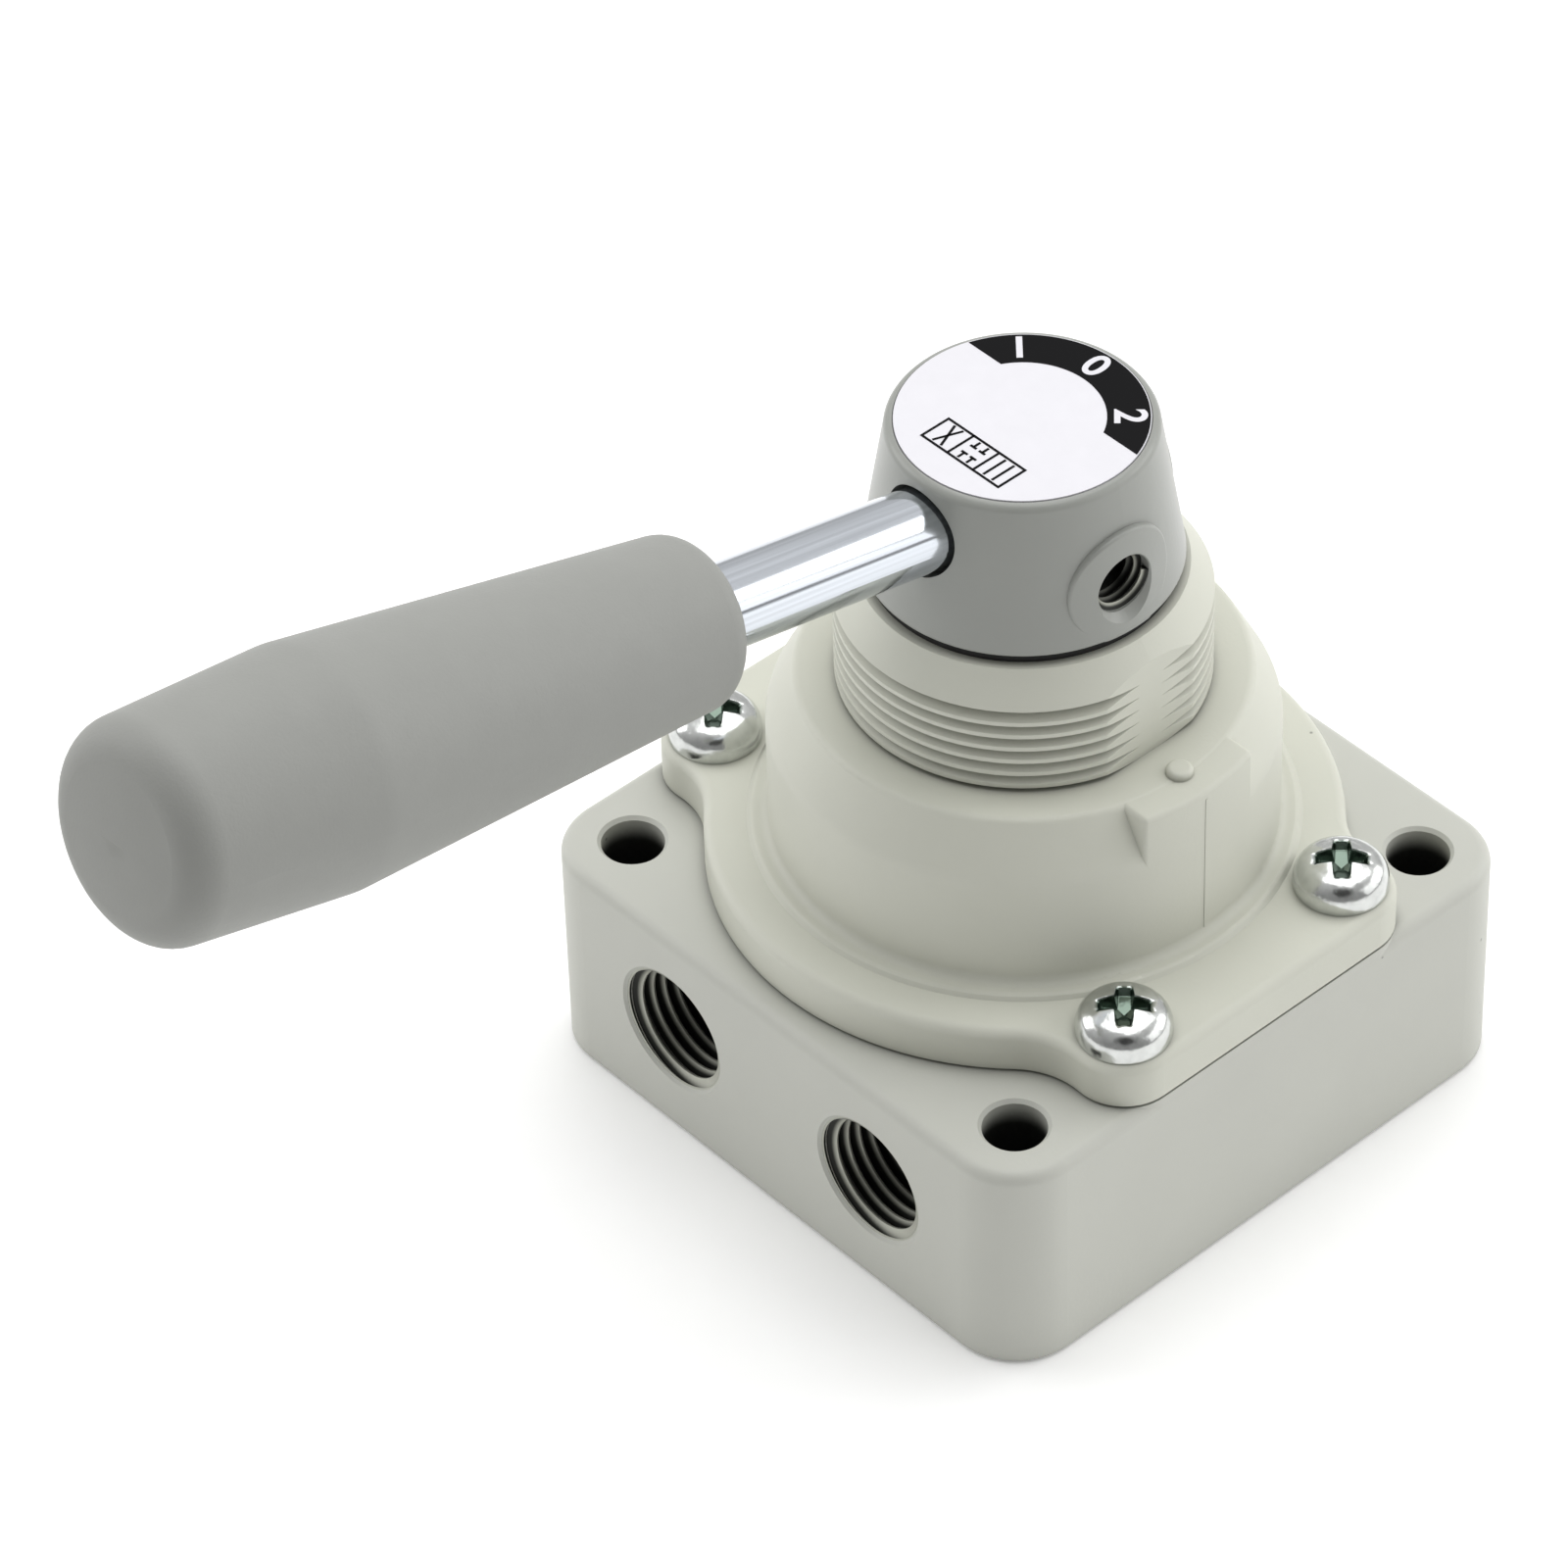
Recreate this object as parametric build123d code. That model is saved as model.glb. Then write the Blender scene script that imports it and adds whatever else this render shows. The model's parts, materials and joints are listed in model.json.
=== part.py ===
from build123d import *
import math
import os

# Hand lever air valve: a rotary disc valve with four ports, turned by a lever on top.
# Millimetres, +Z up. The origin is the centre of the mounting face, on the spindle axis.
# The lever stands in its middle position, over the -Y face.

# Body block
body_width = 66.0
body_height = 24.4
body_corner_radius = 6.9
body_top_round = 1.2
body_base_chamfer = 0.4
mount_hole_edge = 6.85
mount_hole_diameter = 6.1
mount_hole_chamfer = 0.35

# Ports and the passages that lead from them up to the valve plate
port_offset = 13.6
port_height = 12.7
port_diameter = 13.16
port_depth = 12.0
port_mouth_chamfer = 0.3
passage_diameter = 6.0
passage_offset = 10.2

# Chamber, valve plate and what lies between the plate and the body
chamber_diameter = 40.8
plate_thickness = 3.4
plate_clearance = 0.1
seat_seal_section = 1.2
seat_seal_gap = 0.4
plate_pin_diameter = 2.5
plate_pin_length = 6.0
plate_pin_rim = 4.4
plate_pin_setback = 0.6
cover_seal_section = 1.7
cover_seal_wall = 1.8

# Rotor
rotor_gap = 0.8
rotor_thickness = 7.2
cavity_depth = 3.2
cavity_width = 6.2
lever_throw = 45.0

# Cover
flange_thickness = 4.9
flange_inset = 2.85
flange_edge_round = 1.0
flange_foot_chamfer = 0.3
ear_radius = 5.2
ear_spacing = 28.0
ear_blend_radius = 8.0
dome_wall = 3.6
dome_height = 18.1
dome_ring_width = 1.6
dome_ring_height = 0.5
dome_ring_slope = 0.5
dome_ring_round = 0.6
dome_root_round = 0.9
crown_height = 5.4
crown_inset = 2.8
crown_crease_round = 3.0
shoulder_round = 0.8
roof_thickness = 6.1
ledge_width = 13.6
ledge_drop = 0.05
ledge_round = 0.5
nub_diameter = 2.6
nub_height = 0.7
nub_round = 0.5
nub_setback = 3.5
neck_thread_diameter = 35.0
neck_thread_pitch = 1.5
neck_thread_depth = 0.8
neck_thread_crest = 0.45
neck_thread_length = 9.8
neck_top_diameter = 30.6
neck_height = 13.0
neck_flat_depth = 0.85

# Cover screws
screw_diameter = 5.0
screw_length = 14.0
screw_tip_room = 1.3
screw_hole_clearance = 0.2
screw_seat_room = 0.25
screw_head_diameter = 9.0
screw_head_height = 3.8
screw_head_dome = 1.1
screw_head_round = 1.9
screw_recess_width = 1.3
screw_recess_span = 4.8
screw_recess_depth = 1.9

# Spindle and what turns with it
spindle_diameter = 10.0
spindle_chamfer = 0.5
spindle_grip_length = 9.4
spindle_flat_depth = 0.3
spindle_flat_room = 0.5
drive_flange_diameter = 23.0
drive_flange_thickness = 3.0
tail_diameter = 6.0
tail_floor = 1.6
drive_pin_diameter = 3.5
drive_pin_offset = 8.5
drive_pin_floor = 2.6
drive_pin_setback = 0.4
rotor_spring_wire = 1.2
rotor_spring_diameter = 9.2
rotor_spring_turns = 4.0
rotor_spring_pocket = 3.0
rotor_spring_room = 0.8
spindle_seal_section = 1.26
spindle_seal_room = 0.5
spindle_seal_first = 3.3
spindle_seal_spacing = 4.0
spindle_bore_gap = 0.3

# Bush, washer and wiper
bush_wall = 1.85
bush_length = 7.0
thrust_washer_thickness = 1.2
thrust_washer_diameter = 21.0
thrust_washer_gap = 0.6
wiper_thickness = 1.6
wiper_wall = 2.4
wiper_skirt_inset = 0.6

# Detent ball and stop pin
detent_rim = 0.4
ball_diameter = 4.8
ball_travel = 0.5
ball_lift = 0.05
detent_boss_wall = 1.5
detent_boss_gap = 1.4
detent_bore_top = 3.0
detent_spring_wire = 0.6
detent_spring_diameter = 3.4
detent_spring_turns = 5.0
stop_pin_diameter = 3.0
stop_slot_rim = 2.45
stop_pin_hold = 3.7
stop_slot_depth = 2.6
stop_slot_gap = 0.15
stop_pin_end_gap = 0.3

# Head
head_gap = 1.0
head_height = 15.6
head_base_diameter = 29.8
head_top_diameter = 24.8
head_top_round = 0.9
head_base_round = 0.3
head_boss_diameter = 11.6
head_boss_sink = 0.1
head_boss_rise = 1.0
head_boss_round = 0.3
head_bore_room = 0.5
label_diameter = 23.2
label_thickness = 0.4
label_recess = 0.3
label_recess_gap = 0.1

# Head set screws
set_screw_diameter = 6.0
set_screw_length = 5.0
set_screw_chamfer = 0.4
set_screw_level = 5.0
set_screw_turn = 3.0
set_screw_inset = 0.55
set_screw_flare = 0.5
hex_socket_width = 3.0
hex_socket_depth = 2.2

# Lever rod and grip
lever_rise = 7.1
lever_tilt = 12.55
rod_diameter = 8.0
rod_length = 91.0
rod_tip_diameter = 6.8
rod_tip_length = 4.2
rod_tip_wall = 2.0
rod_end_chamfer = 0.5
lever_hole_gap = 0.4
lever_hole_room = 0.2
grip_length = 64.7
grip_taper_length = 44.0
grip_end_wall = 7.0
grip_start_diameter = 16.0
grip_widest_diameter = 22.2
grip_end_diameter = 20.0
grip_start_round = 2.6
grip_waist_round = 9.0
grip_end_round = 3.6
grip_end_dome = 0.9
grip_bore_room = 0.3

# Fits: each is a gap on the radius or between two faces
running_gap = 0.05
seated_gap = 0.02
overshoot = 1.0

# Heights that follow from the sizes above
plate_floor = body_height - plate_thickness
flange_top = body_height + flange_thickness
shoulder_height = flange_top + dome_height
crease_height = shoulder_height - crown_height
rotor_base = body_height + seated_gap
rotor_top = rotor_base + rotor_thickness
ceiling = shoulder_height - roof_thickness
washer_base = ceiling - thrust_washer_thickness
drive_flange_top = washer_base - running_gap
drive_flange_base = drive_flange_top - drive_flange_thickness
neck_top = shoulder_height + neck_height
wiper_base = neck_top - wiper_thickness
bush_base = wiper_base - bush_length
head_base = neck_top + head_gap
head_top = head_base + head_height
wiper_top = head_base - running_gap
set_screw_height = head_base + set_screw_level
spindle_top = head_base + spindle_grip_length
lever_height = head_base + lever_rise

# Radii and places that follow
mount_offset = body_width / 2 - mount_hole_edge
screw_offset_x = body_width / 2 - ear_radius
screw_offset_y = ear_spacing / 2
flange_radius = body_width / 2 - flange_inset
chamber_radius = chamber_diameter / 2
dome_radius = chamber_radius + dome_wall
shoulder_radius = dome_radius - crown_inset
neck_flat = neck_thread_diameter / 2 - neck_flat_depth
plate_pin_offset = chamber_radius - plate_pin_rim
rotor_radius = chamber_radius - rotor_gap
passage_radius = passage_diameter / 2
port_circle = passage_offset * math.sqrt(2)
seat_seal_radius = passage_radius + seat_seal_gap + seat_seal_section / 2
spindle_radius = spindle_diameter / 2
bush_radius = spindle_radius + running_gap + bush_wall
wiper_radius = spindle_radius + running_gap + wiper_wall
ball_radius = ball_diameter / 2
ball_height = rotor_top + ball_lift + ball_radius
detent_radius = rotor_radius - detent_rim - ball_radius
detent_bore_radius = ball_radius + running_gap
detent_boss_base = rotor_top + detent_boss_gap
detent_bore_end = shoulder_height - detent_bore_top
stop_slot_width = stop_pin_diameter + 2 * stop_slot_gap
stop_pin_radius = rotor_radius - stop_slot_rim - stop_slot_width / 2
cover_seal_radius = chamber_radius + cover_seal_wall + cover_seal_section / 2
set_screw_mouth = head_base_diameter / 2 - set_screw_inset
set_screw_angles = (-set_screw_turn, 90 - set_screw_turn)

# Stations along the lever, counted from the spindle axis
rod_tip_station = spindle_radius + rod_tip_wall
rod_shoulder_station = rod_tip_station + rod_tip_length
rod_end_station = rod_tip_station + rod_length
grip_end_station = rod_end_station + grip_end_wall
grip_start_station = grip_end_station - grip_length
grip_widest_station = grip_start_station + grip_taper_length

upward = (Align.CENTER, Align.CENTER, Align.MIN)
lever_plane = Plane(
    origin=(0, 0, lever_height),
    x_dir=(1, 0, 0),
    z_dir=(0, -math.cos(math.radians(lever_tilt)), math.sin(math.radians(lever_tilt))),
)


def upright(radius, bottom, top, x=0, y=0):
    """A vertical cylinder between two heights."""
    return Pos(x, y, bottom) * Cylinder(radius, top - bottom, align=upward)


def tube(outer, inner, bottom, top):
    """A vertical ring about the spindle axis."""
    return upright(outer, bottom, top) - upright(inner, bottom - overshoot, top + overshoot)


def corners(x, y):
    """The four points that mirror one point in both middle planes."""
    return [(side_x * x, side_y * y) for side_x in (-1, 1) for side_y in (-1, 1)]


def hole(radius, depth, flare):
    """A cutter that runs down from the origin, with a chamfered mouth."""
    bore = upright(radius, -depth, overshoot)
    mouth = Pos(0, 0, -flare) * Cone(radius, radius + flare + overshoot, flare + overshoot, align=upward)
    return bore + mouth


def rounded(outline, x, y, radius):
    """The outline with its corner nearest to a point rounded."""
    corner = outline.vertices().sort_by_distance((x, y, 0))[0]
    return fillet(corner, radius)


def turned(outline):
    """The solid that an outline of radius and height makes when turned about the spindle axis."""
    return revolve(Plane.XZ * outline, Axis.Z)


def domed_end(radius, corner, rise):
    """A shallow arc from a corner up to the axis, with its centre on the axis."""
    curve = (radius**2 + rise**2) / (2 * rise)
    start = math.degrees(math.acos(radius / curve))
    return CenterArc((0, corner + rise - curve), curve, start, 90 - start)


def coil(diameter, wire, bottom, top, turns):
    """A round wire wound between two seats, resting on both."""
    start = bottom + wire / 2 + seated_gap
    rise = top - wire / 2 - seated_gap - start
    path = Helix(rise / turns, rise, diameter / 2)
    section = Plane(origin=path @ 0, z_dir=path % 0) * Circle(wire / 2)
    return Pos(0, 0, start) * sweep(section, path, is_frenet=True)


def arc_slot(radius, width, middle, half_angle, bottom, top):
    """A curved slot with round ends, centred on a direction seen from the spindle."""
    arc = CenterArc((0, 0), radius, middle - half_angle, 2 * half_angle)
    return Pos(0, 0, bottom) * extrude(SlotArc(arc, width), top - bottom)


def port_place(side_x, side_y):
    """The mouth of a port, with its local Z pointing out of the body."""
    return Pos(side_x * port_offset, side_y * body_width / 2, port_height) * Rot(X=-90 * side_y)


def make_passage(side_x, side_y):
    """A level drilling behind a port and the riser from it to the plate."""
    inner = body_width / 2 - port_depth
    x = side_x * passage_offset
    length = inner - passage_offset + passage_radius
    middle = Pos(x, side_y * (inner - length / 2), port_height)
    level = middle * Rot(X=90) * Cylinder(passage_radius, length)
    return level + upright(passage_radius, port_height, plate_floor, x, side_y * passage_offset)


def make_body():
    """The square block with four ports, four mounting holes and the pocket for the plate."""
    block = extrude(RectangleRounded(body_width, body_width, body_corner_radius), body_height)
    block = fillet(block.edges().group_by(Axis.Z)[-1], body_top_round)
    block = chamfer(block.edges().group_by(Axis.Z)[0], body_base_chamfer)
    # Under the flange's straight sides the edge stays square and flush with the flange
    block += Pos(0, 0, body_height - body_top_round) * extrude(flange_outline(), body_top_round)
    block -= upright(chamber_radius, plate_floor, body_height + overshoot)
    groove_outer = cover_seal_radius + cover_seal_section / 2
    groove_inner = cover_seal_radius - cover_seal_section / 2
    block -= tube(groove_outer, groove_inner, body_height - cover_seal_section, body_height + overshoot)
    mount_radius = mount_hole_diameter / 2
    for x, y in corners(mount_offset, mount_offset):
        block -= Pos(x, y, body_height) * hole(mount_radius, body_height + overshoot, mount_hole_chamfer)
        block -= Pos(x, y, 0) * Rot(X=180) * hole(mount_radius, mount_hole_chamfer, mount_hole_chamfer)
    screw_hole_floor = flange_top - screw_length - screw_tip_room
    for x, y in corners(screw_offset_x, screw_offset_y):
        block -= upright(screw_diameter / 2 + seated_gap, screw_hole_floor, body_height + overshoot, x, y)
    for side_x, side_y in corners(1, 1):
        block -= port_place(side_x, side_y) * hole(port_diameter / 2, port_depth, port_mouth_chamfer)
        block -= make_passage(side_x, side_y)
    pocket_radius = seat_seal_radius + seat_seal_section / 2 + seated_gap
    for x, y in corners(passage_offset, passage_offset):
        block -= upright(pocket_radius, plate_floor - seat_seal_section, plate_floor + overshoot, x, y)
    pin_base = body_height - plate_pin_setback - plate_pin_length
    pin_hole = plate_pin_diameter / 2 + seated_gap
    for side in (-1, 1):
        block -= upright(pin_hole, pin_base, body_height, side * plate_pin_offset)
    return block


def make_seat_seals():
    """One ring round each riser, squeezed between the body and the plate."""
    section = seat_seal_section / 2 - seated_gap / 2
    height = plate_floor - seat_seal_section / 2
    ring = Torus(seat_seal_radius, section)
    return Compound([Pos(x, y, height) * ring for x, y in corners(passage_offset, passage_offset)])


def make_valve_plate():
    """The flat seat with one hole for each port, held from turning by two pins."""
    plate = upright(chamber_radius - plate_clearance, plate_floor, body_height)
    low = plate_floor - overshoot
    high = body_height + overshoot
    for x, y in corners(passage_offset, passage_offset):
        plate -= upright(passage_radius, low, high, x, y)
    for side in (-1, 1):
        plate -= upright(plate_pin_diameter / 2 + seated_gap, low, high, side * plate_pin_offset)
    return plate


def make_plate_pins():
    """Two pins that stand in the body and end just under the top of the plate."""
    top = body_height - plate_pin_setback
    pin = upright(plate_pin_diameter / 2, top - plate_pin_length, top)
    return Compound([Pos(side * plate_pin_offset, 0, 0) * pin for side in (-1, 1)])


def make_cover_o_ring():
    """The ring that seals the cover to the body."""
    height = body_height - cover_seal_section / 2
    return Pos(0, 0, height) * Torus(cover_seal_radius, cover_seal_section / 2 - seated_gap / 2)


def make_valve_rotor():
    """The disc that joins neighbouring ports through two curved cavities in its face."""
    disc = upright(rotor_radius, rotor_base, rotor_top)
    above = rotor_top + overshoot
    roof = rotor_base + cavity_depth
    for middle in (45, 225):
        disc -= arc_slot(port_circle, cavity_width, middle, lever_throw, rotor_base - overshoot, roof)
    disc -= upright(tail_diameter / 2 + running_gap, rotor_base + tail_floor, above)
    pocket_radius = (rotor_spring_diameter + rotor_spring_wire) / 2 + rotor_spring_room
    disc -= upright(pocket_radius, rotor_top - rotor_spring_pocket, above)
    pin_hole = drive_pin_diameter / 2 + running_gap
    for side in (-1, 1):
        disc -= upright(pin_hole, rotor_base + drive_pin_floor, above, 0, side * drive_pin_offset)
    notch = Pos(detent_radius, 0, ball_height - ball_travel) * Sphere(ball_radius + running_gap)
    for angle in (-lever_throw, 0, lever_throw):
        disc -= Rot(Z=angle) * notch
    slot_floor = rotor_top - stop_slot_depth
    disc -= arc_slot(stop_pin_radius, stop_slot_width, 180, lever_throw, slot_floor, above)
    return disc


def make_rotor_spring():
    """The spring that presses the rotor on the plate."""
    return coil(
        rotor_spring_diameter,
        rotor_spring_wire,
        rotor_top - rotor_spring_pocket,
        drive_flange_base,
        rotor_spring_turns,
    )


def make_drive_pins():
    """Two pins fixed in the spindle's flange that turn the rotor and let it slide."""
    bottom = rotor_base + drive_pin_floor + drive_pin_setback
    top = drive_flange_top - drive_pin_setback
    pin = upright(drive_pin_diameter / 2, bottom, top)
    return Compound([Pos(0, side * drive_pin_offset, 0) * pin for side in (-1, 1)])


def make_spindle():
    """The shaft with its driving flange, two seal grooves and flats for the set screws."""
    tail_base = rotor_base + tail_floor + seated_gap
    shaft = upright(tail_diameter / 2, tail_base, drive_flange_base)
    shaft += upright(drive_flange_diameter / 2, drive_flange_base, drive_flange_top)
    stem = upright(spindle_radius, drive_flange_top, spindle_top)
    stem = chamfer(stem.edges().group_by(Axis.Z)[-1], spindle_chamfer)
    shaft += stem
    for height in spindle_seal_heights():
        low = height - spindle_seal_section / 2 - spindle_seal_room / 2
        high = height + spindle_seal_section / 2 + spindle_seal_room / 2
        shaft -= tube(spindle_radius + overshoot, spindle_groove_radius(), low, high)
    low = drive_flange_base - overshoot
    high = drive_flange_top + overshoot
    for side in (-1, 1):
        shaft -= upright(drive_pin_diameter / 2 + seated_gap, low, high, 0, side * drive_pin_offset)
    flat_length = set_screw_diameter + 2 * spindle_flat_room
    waste = Box(spindle_diameter, spindle_diameter, flat_length)
    flat = Pos(spindle_diameter - spindle_flat_depth, 0, set_screw_height) * waste
    for angle in set_screw_angles:
        shaft -= Rot(Z=angle) * flat
    return shaft


def spindle_seal_heights():
    """The middles of the two grooves, counted up from the ceiling of the chamber."""
    first = ceiling + spindle_seal_first
    return [first, first + spindle_seal_spacing]


def spindle_groove_radius():
    """The floor of a groove, so that a ring in it just reaches the bore of the cover."""
    return spindle_radius + spindle_bore_gap - running_gap - spindle_seal_section


def make_spindle_o_rings():
    """Two rings in the grooves of the spindle."""
    radius = spindle_groove_radius() + spindle_seal_section / 2
    section = spindle_seal_section / 2 - seated_gap / 2
    return Compound([Pos(0, 0, height) * Torus(radius, section) for height in spindle_seal_heights()])


def make_thrust_washer():
    """The washer that takes the spring's push between the flange and the cover."""
    inner = spindle_radius + thrust_washer_gap
    return tube(thrust_washer_diameter / 2, inner, washer_base, ceiling)


def make_spindle_bush():
    """The plain bush that guides the spindle in the neck."""
    return tube(bush_radius, spindle_radius + running_gap, bush_base, wiper_base)


def make_dust_wiper():
    """The ring in the neck, its lip on the spindle and its skirt in the gap under the head."""
    inner = spindle_radius + running_gap
    skirt_radius = head_base_diameter / 2 - wiper_skirt_inset
    ring = tube(wiper_radius, inner, wiper_base, wiper_top) + tube(skirt_radius, inner, neck_top, wiper_top)
    hollow = Cone(inner, spindle_radius + wiper_wall / 2, wiper_thickness / 2, align=upward)
    return ring - Pos(0, 0, wiper_top - wiper_thickness / 2) * hollow


def make_stop_pin():
    """The pin that ends the lever's travel in the rotor's slot."""
    bottom = rotor_top - stop_slot_depth + stop_pin_end_gap
    return upright(stop_pin_diameter / 2, bottom, ceiling + stop_pin_hold, -stop_pin_radius)


def make_detent_ball():
    """The ball that drops into a notch of the rotor at each position."""
    return Pos(detent_radius, 0, ball_height) * Sphere(ball_radius)


def make_detent_spring():
    """The spring above the ball, seated on the ball's upper half."""
    reach = ball_radius + detent_spring_wire / 2
    rise = math.sqrt(reach**2 - (detent_spring_diameter / 2) ** 2)
    spring = coil(
        detent_spring_diameter,
        detent_spring_wire,
        ball_height + rise - detent_spring_wire / 2,
        detent_bore_end,
        detent_spring_turns,
    )
    return Pos(detent_radius, 0, 0) * spring


def flange_outline():
    """A round flange with four ears that reach out flush with two sides of the body."""
    outline = Circle(flange_radius) + Rectangle(body_width, ear_spacing)
    for x, y in corners(screw_offset_x, screw_offset_y):
        outline += Pos(x, y) * Circle(ear_radius)
    waists = [vertex for vertex in outline.vertices() if abs(vertex.X) < screw_offset_x]
    return fillet(waists, ear_blend_radius)


def dome_solid():
    """The dome: base ring, upright wall, sloped crown and flat shoulder."""
    ring_radius = dome_radius + dome_ring_width
    ring_foot = ring_radius + dome_ring_slope
    ring_top = flange_top + dome_ring_height
    points = [
        (0, body_height),
        (ring_foot, body_height),
        (ring_foot, flange_top),
        (ring_radius, ring_top),
        (dome_radius, ring_top),
        (dome_radius, crease_height),
        (shoulder_radius, shoulder_height),
        (0, shoulder_height),
    ]
    outline = make_face(Polyline(*points, close=True))
    outline = rounded(outline, ring_radius, ring_top, dome_ring_round)
    outline = rounded(outline, dome_radius, ring_top, dome_root_round)
    outline = rounded(outline, dome_radius, crease_height, crown_crease_round)
    outline = rounded(outline, shoulder_radius, shoulder_height, shoulder_round)
    return turned(outline)


def ledge_solid():
    """The block over the detent, where the dome's wall runs up to the shoulder."""
    base = crease_height - overshoot
    top = shoulder_height - ledge_drop
    strip = Box(dome_radius, ledge_width, top - base, align=(Align.MIN, Align.CENTER, Align.MIN))
    block = Pos(0, 0, base) * strip & upright(dome_radius, base, top)
    outer = [edge for edge in block.edges() if edge.center().X > dome_radius / 4]
    raised = [edge for edge in outer if edge.center().Z > base + ledge_round]
    return fillet(raised, ledge_round)


def neck_solid():
    """The neck: rings of panel thread, a lead cone and two flats."""
    crest = neck_thread_diameter / 2
    root = crest - neck_thread_depth
    points = [(0, shoulder_height - overshoot), (root, shoulder_height - overshoot)]
    for turn in range(int(neck_thread_length / neck_thread_pitch)):
        low = shoulder_height + turn * neck_thread_pitch
        points.append((root, low))
        points.append((crest, low + (neck_thread_pitch - neck_thread_crest) / 2))
        points.append((crest, low + (neck_thread_pitch + neck_thread_crest) / 2))
    points.append((root, low + neck_thread_pitch))
    points.append((crest, shoulder_height + neck_thread_length))
    points.append((neck_top_diameter / 2, neck_top))
    points.append((0, neck_top))
    neck = turned(make_face(Polyline(*points, close=True)))
    waste = Box(crest, neck_thread_diameter, neck_height + overshoot, align=upward)
    for side in (-1, 1):
        neck -= Pos(side * (neck_flat + crest / 2), 0, shoulder_height) * waste
    return neck


def chamber_void():
    """The space in the cover for the rotor, with the detent's boss left standing in it."""
    void = upright(chamber_radius, body_height - overshoot, ceiling)
    boss_radius = detent_bore_radius + detent_boss_wall
    return void - upright(boss_radius, detent_boss_base, ceiling + overshoot, detent_radius)


def make_cover():
    """The cast cover: flange, dome, ledge, threaded neck and all its bores."""
    flange = Pos(0, 0, body_height) * extrude(flange_outline(), flange_thickness)
    cover = fillet(flange.edges().group_by(Axis.Z)[-1], flange_edge_round)
    cover = chamfer(cover.edges().group_by(Axis.Z)[0], flange_foot_chamfer)
    cover += dome_solid()
    cover += ledge_solid()
    cover += neck_solid()
    nub_base = shoulder_height - overshoot
    nub_top = shoulder_height + nub_height
    nub = upright(nub_diameter / 2, nub_base, nub_top, dome_radius - nub_setback)
    cover += fillet(nub.edges().group_by(Axis.Z)[-1], nub_round)
    cover -= chamber_void()
    below = ceiling - overshoot
    above = neck_top + overshoot
    cover -= upright(spindle_radius + spindle_bore_gap, below, above)
    cover -= upright(bush_radius + seated_gap, bush_base, above)
    cover -= upright(wiper_radius + seated_gap, wiper_base, above)
    cover -= upright(detent_bore_radius, detent_boss_base - overshoot, detent_bore_end, detent_radius)
    pin_hole = stop_pin_diameter / 2 + seated_gap
    cover -= upright(pin_hole, below, ceiling + stop_pin_hold, -stop_pin_radius)
    screw_hole = screw_diameter / 2 + screw_hole_clearance
    screw_seat = screw_head_diameter / 2 + screw_seat_room
    for x, y in corners(screw_offset_x, screw_offset_y):
        cover -= upright(screw_hole, body_height - overshoot, flange_top + overshoot, x, y)
        cover -= upright(screw_seat, flange_top, shoulder_height, x, y)
    return cover


def make_cover_screw():
    """A pan head screw with a cross recess, its head resting on the origin plane."""
    radius = screw_head_diameter / 2
    corner = screw_head_height - screw_head_dome
    rim = Polyline((0, 0), (radius, 0), (radius, corner))
    crown = domed_end(radius, corner, screw_head_dome)
    outline = make_face([*rim.edges(), crown, Line((0, screw_head_height), (0, 0))])
    screw = turned(rounded(outline, radius, corner, screw_head_round))
    slot = Box(screw_recess_span, screw_recess_width, 2 * screw_recess_depth)
    for angle in (45, 135):
        screw -= Pos(0, 0, screw_head_height) * Rot(Z=angle) * slot
    return screw + upright(screw_diameter / 2, -screw_length, 0)


def make_cover_screws():
    """The four screws that hold the cover down."""
    screw = make_cover_screw()
    return Compound([Pos(x, y, flange_top) * screw for x, y in corners(screw_offset_x, screw_offset_y)])


def head_boss():
    """The low round boss of one set screw: it fades out at its foot and stands proudest at its top."""
    base_radius = head_base_diameter / 2 - head_boss_sink
    top_radius = head_top_diameter / 2 + head_boss_rise
    skin = Pos(0, 0, head_base) * Cone(base_radius, top_radius, head_height, align=upward)
    limit = Cylinder(head_boss_diameter / 2, head_base_diameter, align=upward)
    boss = (Pos(0, 0, set_screw_height) * Rot(Y=90) * limit) & skin
    crest = boss.faces().sort_by(Axis.X)[-1]
    rim = [edge for edge in crest.edges() if edge.geom_type not in (GeomType.LINE, GeomType.CIRCLE)]
    return fillet(rim, head_boss_round)


def make_head():
    """The tapered head with its lever hole, two set screw holes and a seat for the label."""
    base_radius = head_base_diameter / 2
    top_radius = head_top_diameter / 2
    points = [(0, head_base), (base_radius, head_base), (top_radius, head_top), (0, head_top)]
    outline = make_face(Polyline(*points, close=True))
    outline = rounded(outline, base_radius, head_base, head_base_round)
    outline = rounded(outline, top_radius, head_top, head_top_round)
    head = turned(outline)
    cutter = Pos(set_screw_mouth, 0, set_screw_height) * Rot(Y=90)
    cutter = cutter * hole(set_screw_diameter / 2, set_screw_mouth, set_screw_flare)
    for angle in set_screw_angles:
        head += Rot(Z=angle) * head_boss()
    for angle in set_screw_angles:
        head -= Rot(Z=angle) * cutter
    head -= upright(spindle_radius + seated_gap, head_base - overshoot, spindle_top + head_bore_room)
    seat_radius = label_diameter / 2 + label_recess_gap
    head -= upright(seat_radius, head_top - label_recess, head_top + overshoot)
    mouth_radius = rod_diameter / 2 + lever_hole_gap
    mouth = Cylinder(mouth_radius, head_base_diameter, align=upward)
    head -= lever_plane * Pos(0, 0, rod_shoulder_station - lever_hole_room) * mouth
    tip = Cylinder(rod_tip_diameter / 2 + seated_gap, head_base_diameter, align=upward)
    head -= lever_plane * Pos(0, 0, rod_tip_station - lever_hole_room) * tip
    return head


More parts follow.
